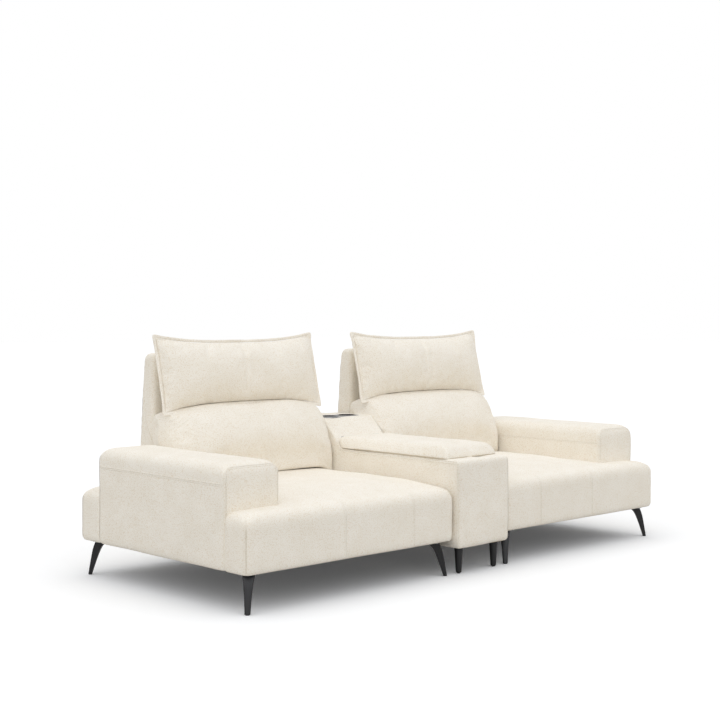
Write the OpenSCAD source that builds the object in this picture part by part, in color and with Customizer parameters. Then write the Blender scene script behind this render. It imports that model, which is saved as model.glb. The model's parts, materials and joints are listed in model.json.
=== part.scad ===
// Two-seat sofa: two wide upholstered seat units joined by a storage console.
// The console's padded lid lifts on butt hinges, and each seat has a head pillow that tilts on
// a pair of ratchet hinges. Millimetres, +Z up, the front faces -Y, the floor is z = 0.

/* [Overall] */
// Width of one seat unit, side to side
seat_w = 1148; // [1100:1:1300]
// Depth of one seat unit, front to back
seat_d = 1161; // [1120:1:1260]
// Height of the seat units' underside above the floor
leg_h = 154; // [140:1:190]
// Gap between the console and each seat unit
unit_gap = 5; // [5:0.5:12]

/* [Seat platform] */
// Height of the platform's side, underside to the top of its rounded edge
seat_edge_h = 230; // [220:1:260]
// Radius of the platform's rolled top edge
seat_edge_r = 50; // [40:1:60]
// How far the seat's crown rises over its edge
seat_crown = 56; // [30:1:60]
// Width of the band over which the crown rises from the front
crown_run = 300; // [220:1:320]
// Width of the band over which the crown rises from the arm
arm_dip_run = 270; // [200:1:280]
// Width of the band over which the crown rises from the console's side
inner_crown_run = 110; // [80:1:160]
// Radius of the platform's upright corners
seat_corner_r = 26; // [16:1:40]
// How far the underside is drawn in
seat_tuck = 14; // [8:1:20]
// Thickness of the padding round the platform's timber
pad_t = 30; // [26:1:36]

/* [Arm] */
// Width of the arm slab
arm_w = 275; // [250:1:300]
// How far the platform runs on behind the arm
arm_rear_gap = 148; // [130:1:170]
// How far the arm stands back from the platform's front
arm_setback = 136; // [128:1:150]
// Height of the arm's crowned top above the floor
arm_top_h = 561; // [530:1:600]
// Radius of the arm's rolled top edge
arm_edge_r = 42; // [30:1:50]
// Radius of the arm's upright corners
arm_corner_r = 20; // [12:1:30]

/* [Back] */
// Gap between the back and the plane of the arm's inner side
back_arm_gap = 35; // [35:1:60]
// Gap between the back and the plane of the platform's inner side
back_inset = 7; // [7:1:20]
// Height of the back's rounded top above the floor
back_top_h = 959; // [920:1:1000]
// Thickness of the back slab at its foot
back_foot_t = 117; // [112:1:130]
// Thickness of the back slab at its top
back_head_t = 80; // [76:1:90]
// How far the back cushion's foot stands in front of the slab
cushion_foot_t = 272; // [240:1:290]
// Thickness of the back cushion's shoulder
cushion_shoulder_t = 172; // [150:1:190]
// Height of the back cushion's crest above the floor
cushion_top_h = 730; // [700:1:740]
// How far the middle of the back cushion swells forward
cushion_swell = 50; // [20:1:60]

/* [Head pillow] */
// Width of the pillow, corner to corner
pillow_w = 922; // [860:1:940]
// Height of the pillow, corner to corner
pillow_h = 364; // [340:1:380]
// Width of the flat sewn flange round the pillow
pillow_flange = 18; // [12:1:24]
// How far the long edges curve in between the corners
pillow_draw = 42; // [20:1:50]
// Front swell of the pillow over its seam plane
pillow_front_t = 76; // [60:1:80]
// Rear swell of the pillow behind its seam plane
pillow_rear_t = 55; // [45:1:58]
// Recline of the pillow at rest, in degrees
pillow_lean = 13; // [10:0.5:16]

/* [Console] */
// Width of the console
console_w = 330; // [310:1:380]
// How far the console's front stands in front of the seats
console_nose = 22; // [10:1:40]
// Gap between the floor and the console's underside
console_leg_h = 117; // [100:1:140]
// Height of the console's rim, where the lid sits
console_rim_h = 501; // [480:1:520]
// Height of the raised rear block above the floor
console_block_h = 634; // [620:1:650]
// Length of the rim, from the console's front to the foot of the slope
console_rim_l = 760; // [720:1:790]
// Angle of the slope between the rim and the raised block, in degrees
slope_deg = 46; // [42:1:50]
// Thickness of the lid pad at its edge
lid_t = 50; // [44:1:56]
// How far the lid's front edge stands back from the console's front
lid_setback = 86; // [70:1:100]
// Inner radius of each cup well
cup_r = 39; // [36:0.5:42]
// Depth of each cup well
cup_depth = 62; // [50:1:75]
// Distance between the middles of the two cup wells
cup_pitch = 112; // [104:1:124]

/* [Legs] */
// Length of a blade leg's top, along its splay
blade_top_l = 46; // [40:1:50]
// Width of a blade leg at its top
blade_top_w = 46; // [40:1:50]
// Width of a blade leg at its tip
blade_tip_w = 22; // [18:1:26]
// Thickness of a blade leg at its tip
blade_tip_t = 17; // [14:1:20]
// How far the tip stands outside the leg's top, along its splay
blade_splay = 58; // [45:1:65]
// Distance from a tip to the two sides of the platform at its corner
tip_inset = 30; // [26:1:36]
// Diameter of a console leg at its top
round_leg_top_d = 38; // [32:1:42]
// Diameter of a console leg at its tip
round_leg_tip_d = 26; // [22:1:30]

/* [Hidden] */

LEFT = -1;
RIGHT = 1;

// Finishes
ivory = [0.93, 0.90, 0.84];
timber = [0.80, 0.66, 0.47];
foam_yellow = [0.95, 0.90, 0.70];
steel_grey = [0.60, 0.61, 0.63];
black_satin = [0.09, 0.09, 0.10];
black_cloth = [0.12, 0.12, 0.13];
plate_grey = [0.62, 0.63, 0.65];

// One overrun for every cut
over = 2;
// Clearance between a soft cover and what fills its pocket
pocket_gap = 0.3;
// Clearance between two padded faces that stand side by side
soft_gap = 0.6;
// Smoothness of bores, pins and discs
$fn = 48;

// Shares of an outline's points
corner_steps = 5;
side_steps = 6;

// Places shared by the pieces, measured from the middle of the console, the platform's front
// face and the floor
inner_x = console_w / 2 + unit_gap;
outer_x = inner_x + seat_w;
arm_inner_x = outer_x - arm_w;
arm_rear_y = seat_d - arm_rear_gap;
centre_y = (seat_d - console_nose) / 2;
seat_wall_top = leg_h + seat_edge_h - seat_edge_r;
back_in_x = inner_x + back_inset;
back_w = seat_w - arm_w - back_inset - back_arm_gap;
back_mid_x = back_in_x + back_w / 2;
slab_front_y = seat_d - back_foot_t;

// Seat structure
rail_t = 34;
frame_h = 105;
spring_wire = 4;
foam_h = 75;
tongue_wall = 18;
block_h = 40;
dust_t = 1;
frame_top = leg_h + frame_h;
pocket_top = frame_top + spring_wire + foam_h;
frame_in_x = inner_x + pad_t;
frame_out_x = arm_inner_x - pad_t;
frame_end_x = outer_x - pad_t;
frame_rear_y = seat_d - pad_t;
tongue_front_y = arm_setback - tongue_wall;
tongue_rear_y = arm_rear_y + tongue_wall;
corner_block_w = 105;
corner_block_d = 122;
spring_count = 6;
spring_loops = 16;
spring_reach = 46;
spring_edge_gap = 126;

// Back structure
post_w = 40;
post_t = 35;
post_rear_y = frame_rear_y - rail_t;
post_front_y = post_rear_y - post_t;
back_pad_side = 30;
back_pad_top = 30;
back_rail_h = 60;
back_foot_gap = 30;
web_w = 50;
web_t = 2;
web_count = 4;
back_frame_top = back_top_h - back_pad_top;
back_frame_foot = leg_h + seat_edge_h + seat_crown + back_foot_gap;

// Head pillow: its middle on the seam plane, at rest
pillow_mid_gap = 87;
pillow_mid_rise = 148.5;
pillow_mid_y = slab_front_y - pillow_mid_gap;
pillow_mid_z = cushion_top_h + pillow_mid_rise;
pillow_corner_r = 9;
flange_t = 8;
board_t = 12;
board_w = 770;
board_rise = 118;
board_drop = 100;

// Ratchet hinge of the head pillow: its pivot, in the pillow's own plane directions
pivot_gap = 89;
pivot_rise = 20;
pivot_y = slab_front_y - pivot_gap;
pivot_z = cushion_top_h + pivot_rise;
hinge_reach = 280;
hub_r = 13;
cheek_r = 15;
cheek_t = 3;
strap_t = 5;
hinge_gap = 0.3;
hinge_pin_r = 4;
pin_gap = 0.05;
pin_head_r = 7;
pin_head_t = 2;
cheek_room = 1.5;
hinge_half = strap_t / 2 + hinge_gap + cheek_t + pin_head_t;
flange_plate_w = 60;
flange_plate_h = 60;
flange_plate_t = 3;
cheek_bar_h = 20;
tooth_count = 18;
tooth_h = 1.6;
tab_w = 36;
tab_t = 4;
tab_top = -20;

// Console structure
cpad_t = 18;
cply_t = 15;
crim_t = 4;
console_rear_y = seat_d - 11;
console_front_y = -console_nose;
slope_foot_y = console_front_y + console_rim_l;
console_corner_r = 16;
console_side_r = 12;
block_crest_r = 24;
foot_fillet_r = 8;
block_rear_r = 20;
mouth_side = 35;
mouth_front = 110;
mouth_rear = 36;
bin_wall = 3;
bin_flange_w = 9;
bin_floor_rise = 43;
bin_floor_z = console_leg_h + bin_floor_rise;
bin_drop_gap = 0.5;
divider_gap = 26;

// Lid
lid_gap = 0.4;
lid_corner_r = 12;
lid_roll_r = 20;
lid_crown = 6;
slope_gap = 4;
lid_board_t = 12;
lid_board_inset = 20;
batten_h = 32;
batten_l = 40;
lid_skin = 3;

// Butt hinges of the lid, in the slope's own directions
leaf_t = 1.9;
leaf_w = 60;
leaf_l = 42;
leaf_start = 5;
knuckle_r = 4;
knuckle_gap = 0.4;
knuckle_share = 1 / 3;
lid_pin_r = 2;
lid_hinge_reach = 92;
knuckle_clear = 0.6;
lid_pivot_drop = 5;
lid_pivot_z = console_rim_h + lid_gap + lid_t - lid_pivot_drop;

// Cup plate and wells
cup_plate_w = 232;
cup_plate_d = 104;
cup_plate_t = 3;
cup_plate_r = 44;
cup_plate_sink = 2;
cup_plate_front = 13;
cup_wall = 1.5;
cup_rim_w = 7;
cup_rim_t = 2;
cup_hole_gap = 0.5;
cup_y = slope_y(console_block_h) + block_crest_r * tan(slope_deg / 2) + cup_plate_front
    + cup_plate_d / 2;

// Legs, plates and screws
plate_t = 4;
plate_l = 82;
plate_w = 76;
plate_corner_r = 8;
plate_back = 62;
screw_r = 3;
screw_head_r = 6;
screw_head_t = 3;
screw_l = 24;
screw_u = 26;
screw_v = 30;
screw_gap = 0.4;
glide_r = 8;
glide_t = 3;
ridge = 2.5;
round_leg_inset = 50;
round_glide_r = 10;
bracket_t = 4;
bracket_w = 60;
bracket_foot = 62;
bracket_drop = 30;
bracket_front_share = 0.2;
bracket_rear_share = 0.8;

// Moves a piece from the console's middle and the platform's front face to the part's origin
module placed() {
    translate([0, -centre_y, 0]) children();
}

// Both seat units are drawn on the +X side, and the left one is mirrored
module unit(side) {
    placed() mirror([side == LEFT ? 1 : 0, 0, 0]) children();
}

module box(x0, x1, y0, y1, z0, z1) {
    translate([x0, y0, z0]) cube([x1 - x0, y1 - y0, z1 - z0]);
}

// Rounded rectangle between two corners, with true arcs
module plate_outline(x0, x1, y0, y1, r) {
    translate([x0 + r, y0]) square([x1 - x0 - 2 * r, y1 - y0]);
    translate([x0, y0 + r]) square([x1 - x0, y1 - y0 - 2 * r]);
    for (x = [x0 + r, x1 - r])
        for (y = [y0 + r, y1 - r])
            translate([x, y]) circle(r);
}

// Extrudes an outline drawn in the YZ plane along X, centred on x
module across(x, w) {
    translate([x - w / 2, 0, 0]) rotate([90, 0, 90]) linear_extrude(w) children();
}

// Skins a stack of closed outlines that have the same number of points. Seen from the stack's far
// end, each outline runs anticlockwise.
module skin(rings) {
    n = len(rings[0]);
    m = len(rings);
    walls = [for (i = [0 : m - 2]) for (j = [0 : n - 1])
        let (a = i * n + j, b = i * n + (j + 1) % n)
        each [[a, b + n, b], [a, a + n, b + n]]];
    first = [for (j = [0 : n - 1]) j];
    last = [for (j = [n - 1 : -1 : 0]) (m - 1) * n + j];
    polyhedron(points = [for (r = rings) each r], faces = concat([first], walls, [last]));
}

function backward(list) = [for (k = [len(list) - 1 : -1 : 0]) list[k]];

// One point of a rounded rectangle of half sizes hw, hd and corner radius r, counted anticlockwise,
// with m steps on each side. draw_l and draw_s pull the long and the short sides in between their
// corners.
function ring_point(hw, hd, r, j, m, draw_l, draw_s) =
    let (per = m + corner_steps, q = floor(j / per), t = j % per,
         along = q % 2 == 0 ? hw : hd, out = q % 2 == 0 ? hd : hw,
         draw = q % 2 == 0 ? draw_l : draw_s,
         turn = 90 * (t - m) / corner_steps,
         s = t < m ? (along - r) * (2 * t / m - 1) : along - r + r * sin(turn),
         o = t < m ? out : out - r + r * cos(turn),
         share = pow(abs(s) / along, 4),
         d = o - draw * (1 - share))
    q == 0 ? [s, -d] : q == 1 ? [d, s] : q == 2 ? [-s, d] : [-d, -s];

function ring(x0, x1, y0, y1, r, z, draw_l = 0, draw_s = 0) =
    let (m = draw_l == 0 ? 1 : side_steps)
    [for (j = [0 : 4 * (m + corner_steps) - 1])
        let (p = ring_point((x1 - x0) / 2, (y1 - y0) / 2, r, j, m, draw_l, draw_s))
        [(x0 + x1) / 2 + p[0], (y0 + y1) / 2 + p[1], z]];

// Wall of the platform: shares of its height, and shares of the tuck at each
wall_shares = [[0, 1], [0.06, 0.45], [0.2, 0.12], [0.55, 0], [1, 0]];
// Steps of a rolled edge, in degrees
roll_steps = [22.5, 45, 67.5, 90];
// Where the crown's rings lie: shares of its run from the front, from the console's side and from
// the arm
crown_shares = [0.15, 0.35, 0.6, 1];
crown_inner_shares = [0.05, 0.19, 0.44, 1];
crown_arm_shares = [0.07, 0.31, 0.57, 1];
crown_corner_share = 0.6;
inner_roll_share = 0.4;

// Rings of the seat's top: how far each is in from the front, the console's side and the arm's
// side, and its height
seat_rings = concat(
    [[0, 0, 0, seat_wall_top]],
    [for (a = roll_steps)
        let (i = seat_edge_r * (1 - cos(a)))
        [i, i * inner_roll_share, i, seat_wall_top + seat_edge_r * sin(a)]],
    [for (k = [0 : len(crown_shares) - 1])
        [seat_edge_r + (crown_run - seat_edge_r) * crown_shares[k],
         seat_edge_r * inner_roll_share + inner_crown_run * crown_inner_shares[k],
         arm_w + arm_dip_run * crown_arm_shares[k],
         seat_wall_top + seat_edge_r + seat_crown * sin(90 * crown_shares[k])]]);

// Height of the seat's top at a distance i in from its front or rear, its inner side and its
// arm's side
function top_front(i) = lookup(i, [for (r = seat_rings) [r[0], r[3]]]);
function top_inner(i) = lookup(i, [for (r = seat_rings) [r[1], r[3]]]);
function top_arm(i) = lookup(i, [for (r = seat_rings) [r[2], r[3]]]);

function seat_ring(i, i_inner, i_arm, z) =
    ring(inner_x + i_inner, outer_x - i_arm, i, seat_d - i, seat_corner_r + i * crown_corner_share, z);

module seat_form() {
    foot_rings = [for (k = [0 : len(wall_shares) - 2])
        let (w = wall_shares[k], i = seat_tuck * w[1])
        seat_ring(i, i, i, leg_h + (seat_wall_top - leg_h) * w[0])];
    top_rings = [for (r = seat_rings) seat_ring(r[0], r[1], r[2], r[3])];
    skin(concat(foot_rings, top_rings));
}

// Pocket of the platform: room for the timber below, for the springs and the foam above it
module seat_pocket(gap) {
    x0 = frame_in_x - gap;
    x1 = frame_out_x + gap;
    x2 = frame_end_x + gap;
    y0 = pad_t - gap;
    y1 = tongue_front_y + gap;
    y2 = tongue_rear_y - gap;
    y3 = frame_rear_y + gap;
    translate([0, 0, leg_h - over]) linear_extrude(frame_h + over + gap)
        polygon([[x0, y0], [x2, y0], [x2, y1], [x1, y1], [x1, y2], [x2, y2], [x2, y3], [x0, y3]]);
    box(x0, x1, y0, y3, leg_h + frame_h / 2, pocket_top);
}

module post_places() {
    for (x = [frame_in_x + rail_t, back_in_x + back_w - back_pad_side - post_w])
        translate([x, 0, 0]) children();
}

module seat_cover(side) {
    color(ivory) unit(side) difference() {
        seat_form();
        box(arm_inner_x - soft_gap, outer_x + over, arm_setback - soft_gap,
            arm_rear_y + soft_gap, leg_h - over, arm_top_h);
        seat_pocket(pocket_gap);
        post_places()
            box(-pocket_gap, post_w + pocket_gap, post_front_y - pocket_gap,
                post_rear_y + pocket_gap, frame_top, arm_top_h);
    }
}

// Where the four legs of a seat unit stand: tip place and the direction of the splay
function leg_tips() = [
    [outer_x - tip_inset, tip_inset, -45],
    [inner_x + tip_inset, tip_inset, -135],
    [outer_x - tip_inset, seat_d - tip_inset, 45],
    [inner_x + tip_inset, seat_d - tip_inset, 135]];

// Puts a piece at a leg, with +X along its outward splay and the tip at the origin
module at_leg(i) {
    tip = leg_tips()[i];
    translate([tip[0], tip[1], 0]) rotate([0, 0, tip[2]]) children();
}

module at_screws() {
    for (u = [-screw_u, screw_u])
        for (v = [-screw_v, screw_v])
            translate([u - plate_back, v, 0]) children();
}

module screw_holes(r, z0, z1) {
    for (i = [0 : 3])
        at_leg(i) at_screws() translate([0, 0, z0]) cylinder(r = r, h = z1 - z0);
}

// Beech rails with a solid outrigger in each tongue and a block over each inner leg
module seat_frame(side) {
    color(timber) unit(side) difference() {
        union() {
            box(frame_in_x, frame_end_x, pad_t, pad_t + rail_t, leg_h, frame_top);
            box(frame_in_x, frame_end_x, frame_rear_y - rail_t, frame_rear_y, leg_h, frame_top);
            box(frame_in_x, frame_in_x + rail_t, pad_t, frame_rear_y, leg_h, frame_top);
            box(frame_out_x - rail_t, frame_out_x, pad_t, frame_rear_y, leg_h, frame_top);
            box(frame_out_x, frame_end_x, pad_t, tongue_front_y, leg_h, frame_top);
            box(frame_out_x, frame_end_x, tongue_rear_y, frame_rear_y, leg_h, frame_top);
            box(frame_in_x, frame_in_x + corner_block_w, pad_t, pad_t + corner_block_d,
                leg_h, leg_h + block_h);
            box(frame_in_x, frame_in_x + corner_block_w, frame_rear_y - corner_block_d,
                frame_rear_y, leg_h, leg_h + block_h);
            box(frame_out_x - rail_t - corner_block_w, frame_out_x,
                frame_rear_y - corner_block_d, frame_rear_y, leg_h, leg_h + block_h);
        }
        screw_holes(screw_r + pin_gap, leg_h - over, leg_h + screw_l);
    }
}

// One sinuous spring: half rings joined by straight wires, flat on the rails
module sinuous_spring(length) {
    pitch = length / spring_loops;
    outer_r = pitch / 2 + spring_wire / 2;
    linear_extrude(spring_wire)
        for (i = [0 : spring_loops - 1]) {
            way = i % 2 == 0 ? 1 : -1;
            translate([0, (i + 1 / 2) * pitch]) {
                translate([way * (spring_reach - outer_r), 0]) difference() {
                    circle(outer_r);
                    circle(outer_r - spring_wire);
                    translate([-way * outer_r - outer_r, -outer_r])
                        square([2 * outer_r, 2 * outer_r]);
                }
                for (y = [-pitch / 2, pitch / 2])
                    translate([way > 0 ? -spring_reach + outer_r : -spring_reach + outer_r,
                               y - spring_wire / 2])
                        square([2 * (spring_reach - outer_r), spring_wire]);
            }
        }
}

module seat_springs(side) {
    first_x = frame_in_x + spring_edge_gap;
    last_x = frame_out_x - spring_edge_gap;
    color(steel_grey) unit(side)
        for (k = [0 : spring_count - 1])
            translate([first_x + (last_x - first_x) * k / (spring_count - 1),
                       pad_t + rail_t / 2, frame_top])
                sinuous_spring(frame_rear_y - rail_t / 2 - pad_t - rail_t / 2);
}

module seat_foam(side) {
    color(foam_yellow) unit(side)
        translate([0, 0, frame_top + spring_wire]) linear_extrude(foam_h)
            plate_outline(frame_in_x, frame_out_x, pad_t, post_front_y - over, pad_t);
}

function arm_ring(i, z) =
    ring(arm_inner_x + i, outer_x - i, arm_setback + i, arm_rear_y - i,
         arm_corner_r + i * arm_corner_share, z);
arm_corner_share = 0.25;
arm_crown = 9;
arm_crown_run = 90;
arm_tuck = 8;
arm_pad_t = 28;
arm_pad_top = 66;
arm_ply_t = 18;
arm_window = 90;
arm_wall_top = arm_top_h - arm_crown - arm_edge_r;

function arm_top(i) = arm_wall_top
    + (i < arm_edge_r ? sqrt(arm_edge_r * arm_edge_r - pow(arm_edge_r - i, 2)) : arm_edge_r)
    + arm_crown * sin(90 * min(1, i / arm_crown_run));

module arm_cover(side) {
    color(ivory) unit(side) difference() {
        skin(concat(
            [for (w = wall_shares)
                arm_ring(arm_tuck * w[1], leg_h + (arm_wall_top - leg_h) * w[0])],
            [for (a = roll_steps) let (i = arm_edge_r * (1 - cos(a))) arm_ring(i, arm_top(i))],
            [for (s = crown_shares)
                let (i = arm_edge_r + (arm_crown_run - arm_edge_r) * s) arm_ring(i, arm_top(i))]
        ));
        box(arm_inner_x + arm_pad_t - pocket_gap, outer_x - arm_pad_t + pocket_gap,
            arm_setback + arm_pad_t - pocket_gap, arm_rear_y - arm_pad_t + pocket_gap,
            leg_h - over, arm_top_h - arm_pad_top);
    }
}

// Plywood box frame of the arm, with lightening windows through its two sides
module arm_frame(side) {
    x0 = arm_inner_x + arm_pad_t;
    x1 = outer_x - arm_pad_t;
    y0 = arm_setback + arm_pad_t;
    y1 = arm_rear_y - arm_pad_t;
    z1 = arm_top_h - arm_pad_top;
    mid_y = (y0 + y1) / 2;
    color(timber) unit(side) difference() {
        box(x0, x1, y0, y1, leg_h, z1);
        box(x0 + arm_ply_t, x1 - arm_ply_t, y0 + arm_ply_t, mid_y - arm_ply_t / 2,
            leg_h + arm_ply_t, z1 - arm_ply_t);
        box(x0 + arm_ply_t, x1 - arm_ply_t, mid_y + arm_ply_t / 2, y1 - arm_ply_t,
            leg_h + arm_ply_t, z1 - arm_ply_t);
        box(x0 - over, x1 + over, y0 + arm_window, mid_y - arm_window / 2,
            leg_h + arm_window, z1 - arm_window);
        box(x0 - over, x1 + over, mid_y + arm_window / 2, y1 - arm_window,
            leg_h + arm_window, z1 - arm_window);
    }
}

// Points of an arc in the YZ plane, from angle a0 to a1
function arc(cy, cz, r, a0, a1, steps) =
    [for (k = [0 : steps]) let (a = a0 + (a1 - a0) * k / steps) [cy + r * cos(a), cz + r * sin(a)]];

function at_x(x, outline) = [for (p = outline) [x, p[0], p[1]]];

// Sections along X whose outline draws in by e towards each end, as a roll of radius r
function rolled_ends(r) = [for (a = [0, 30, 60, 90]) [r * (1 - cos(a)), r * (1 - sin(a))]];

// Side outline of the back slab: it stands on the platform's rear edge and follows its roll
back_top_r = 36;
back_side_r = 22;
back_front_r = 27;
back_seat_gap = 1.5;
slab_kink_h = 550;
slab_head_y = slab_front_y + back_head_t;
slab_foot_rings = [for (k = [len(roll_steps) + 1 : -1 : 0]) seat_rings[k][0]];

function slab_outline(e) =
    let (rear = seat_d, top = back_top_h)
    concat(
        [[slab_front_y + e, top_front(back_foot_t - e) + back_seat_gap]],
        [for (r = slab_foot_rings)
            let (i = e + r * (1 - 2 * e / back_foot_t))
            [rear - i, top_front(i) + back_seat_gap]],
        [[rear - e, slab_kink_h]],
        arc(slab_head_y - back_top_r, top - back_top_r, back_top_r - e, 0, 90, 4),
        arc(slab_front_y + back_front_r, top - back_front_r, back_front_r - e, 90, 180, 3)
    );

module back_cover(side) {
    near = rolled_ends(back_side_r);
    count = len(near);
    color(ivory) unit(side) difference() {
        skin(concat(
            [for (n = near) at_x(back_in_x + n[0], slab_outline(n[1]))],
            [for (k = [count - 1 : -1 : 0])
                at_x(back_in_x + back_w - near[k][0], slab_outline(near[k][1]))]
        ));
        box(back_in_x + back_pad_side - pocket_gap,
            back_in_x + back_w - back_pad_side + pocket_gap,
            post_front_y - web_t - pocket_gap, post_rear_y + pocket_gap,
            leg_h, back_frame_top + pocket_gap);
    }
}

// Beech back frame: two posts that run down into the platform, and three rails
module back_frame(side) {
    x0 = back_in_x + back_pad_side;
    x1 = back_in_x + back_w - back_pad_side;
    mid_z = (back_frame_foot + back_frame_top) / 2;
    color(timber) unit(side) union() {
        post_places()
            box(0, post_w, post_front_y, post_rear_y, leg_h + block_h, back_frame_top);
        for (z = [back_frame_foot, mid_z - back_rail_h / 2, back_frame_top - back_rail_h])
            box(x0, x1, post_front_y, post_rear_y, z, z + back_rail_h);
    }
}

module back_webbing(side) {
    x0 = back_in_x + back_pad_side;
    x1 = back_in_x + back_w - back_pad_side;
    z0 = back_frame_foot + back_rail_h;
    z1 = back_frame_top - back_rail_h;
    pitch = (z1 - z0) / web_count;
    color(black_cloth) unit(side)
        for (k = [0 : web_count - 1])
            box(x0, x1, post_front_y - web_t, post_front_y,
                z0 + pitch * (k + 1 / 2) - web_w / 2, z0 + pitch * (k + 1 / 2) + web_w / 2);
}

// Back cushion: side outline at a share s of its half width, 0 in the middle and 1 at an end
cushion_end_r = 34;
cushion_seat_gap = 3;
cushion_top_fall = 34;
cushion_crest_y = 148;
cushion_crest_fall = 4;
cushion_front_shares = [
    [0, 1, 0.15], [0.22, 1, 0.6], [0.45, 0.945, 0.95], [0.66, 0.84, 1], [0.84, 0.73, 0.75],
    [0.95, 0.645, 0.35]];

// The cushion's foot follows the seat's rings: a ring behind it, and the rings at its two sides
cushion_ramp_i = seat_rings[len(roll_steps) + 2][0];
cushion_lines = concat(
    [inner_x + seat_rings[len(roll_steps) + 3][1], inner_x + seat_rings[len(roll_steps) + 4][1]],
    [for (k = [1 : 4])
        let (x0 = inner_x + seat_rings[len(roll_steps) + 4][1],
             x1 = outer_x - seat_rings[len(roll_steps) + 4][2])
        x0 + (x1 - x0) * k / 5],
    [for (k = [4 : -1 : 2]) outer_x - seat_rings[len(roll_steps) + k][2]]);

function cushion_outline(x, e) =
    let (s = abs(x - back_mid_x) / (back_w / 2),
         swell = cushion_swell * (1 - pow(s, 2.5)),
         foot_y = slab_front_y - cushion_foot_t,
         side_z = min(top_inner(x - inner_x), top_arm(outer_x - x)),
         foot_z = min(side_z, top_front(seat_d - foot_y)) + cushion_seat_gap,
         rear_z = min(side_z, top_front(back_foot_t)) + cushion_seat_gap,
         ramp_z = min(side_z, top_front(cushion_ramp_i)) + cushion_seat_gap + cushion_crest_fall / 5,
         top_z = cushion_top_h - cushion_top_fall * pow(s, 4) - e)
    concat(
        [[slab_front_y, rear_z], [seat_d - cushion_ramp_i, ramp_z],
         [(slab_front_y + foot_y) / 2, max(foot_z, rear_z) + cushion_crest_fall / 2]],
        [for (p = cushion_front_shares)
            [slab_front_y - cushion_foot_t * p[1] - swell * p[2] + e,
             foot_z + (top_z - foot_z) * p[0]]],
        [[slab_front_y - cushion_crest_y, top_z - cushion_crest_fall],
         [slab_front_y - cushion_crest_y / 2, top_z],
         [slab_front_y, top_z - 2 * cushion_crest_fall]]
    );

module back_cushion(side) {
    near = rolled_ends(cushion_end_r);
    count = len(near);
    color(ivory) unit(side)
        skin(backward(concat(
            [for (n = near) let (x = back_in_x + n[0]) at_x(x, cushion_outline(x, n[1]))],
            [for (x = cushion_lines) at_x(x, cushion_outline(x, 0))],
            [for (k = [count - 1 : -1 : 0])
                let (x = back_in_x + back_w - near[k][0]) at_x(x, cushion_outline(x, near[k][1]))]
        )));
}

// Puts the pillow's plane, drawn flat with its front up, in its place at rest
module at_pillow() {
    translate([back_mid_x, pillow_mid_y, pillow_mid_z])
        rotate([90 - pillow_lean, 0, 0]) children();
}

// The pivot in the pillow's plane: along its height, and out of the plane
pivot_s = (pivot_y - pillow_mid_y) * sin(pillow_lean) + (pivot_z - pillow_mid_z) * cos(pillow_lean);
pivot_n = (pivot_z - pillow_mid_z) * sin(pillow_lean) - (pivot_y - pillow_mid_y) * cos(pillow_lean);

// Sections of the pillow from its rear to its front: how far each lies inside the corner-to-corner
// outline, as a share of half the pillow's height, and its share of the rear or front swell
pillow_rear_shares = [[0.86, 1], [0.6, 0.97], [0.38, 0.84], [0.24, 0.62], [0.15, 0.34]];
pillow_front_shares = [[0.15, 0.3], [0.21, 0.52], [0.32, 0.74], [0.48, 0.9], [0.68, 0.98], [0.9, 1]];

function pillow_ring(i, t) =
    let (hw = pillow_w / 2 - i, hh = pillow_h / 2 - i, left_share = 1 - i / (pillow_h / 2))
    ring(-hw, hw, -hh, hh, pillow_corner_r, t, pillow_draw * left_share,
         pillow_side_draw * left_share);
pillow_side_draw = 8;

module pillow_form() {
    half = pillow_h / 2;
    seam_t = flange_t / 2;
    skin(concat(
        [for (p = pillow_rear_shares) pillow_ring(half * p[0], -pillow_rear_t * p[1])],
        [pillow_ring(pillow_flange, -seam_t), pillow_ring(0, -seam_t),
         pillow_ring(0, seam_t), pillow_ring(pillow_flange, seam_t)],
        [for (p = pillow_front_shares) pillow_ring(half * p[0], pillow_front_t * p[1])]
    ));
}

module at_hinges() {
    for (x = [-hinge_reach, hinge_reach])
        translate([x, 0, 0]) children();
}

// Ratchet arm: toothed hub, strap and tab, drawn in the pillow's own directions
module ratchet_arm() {
    strap_top = -board_drop + tab_w;
    rear_n = -board_t / 2;
    difference() {
        union() {
            translate([-strap_t / 2, 0, 0]) rotate([90, 0, 90]) linear_extrude(strap_t) {
                translate([pivot_s, pivot_n]) circle(hub_r - tooth_h);
                for (k = [0 : tooth_count - 1])
                    translate([pivot_s, pivot_n]) rotate([0, 0, k * 360 / tooth_count])
                        polygon([[hub_r - 2 * tooth_h, -tooth_h], [hub_r, -tooth_h],
                                 [hub_r - 2 * tooth_h, tooth_h]]);
                polygon([[pivot_s, pivot_n - hub_r + tooth_h],
                         [pivot_s + hub_r, pivot_n - hub_r + tooth_h],
                         [strap_top, rear_n - tab_t - hub_r],
                         [strap_top, rear_n],
                         [-board_drop, rear_n],
                         [pivot_s, pivot_n + hub_r - tooth_h]]);
            }
            translate([-tab_w / 2, -board_drop, rear_n - tab_t])
                cube([tab_w, board_drop + tab_top, tab_t]);
        }
        translate([0, pivot_s, pivot_n]) rotate([0, 90, 0])
            cylinder(r = hinge_pin_r + pin_gap, h = strap_t + 2 * over, center = true);
    }
}

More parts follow.
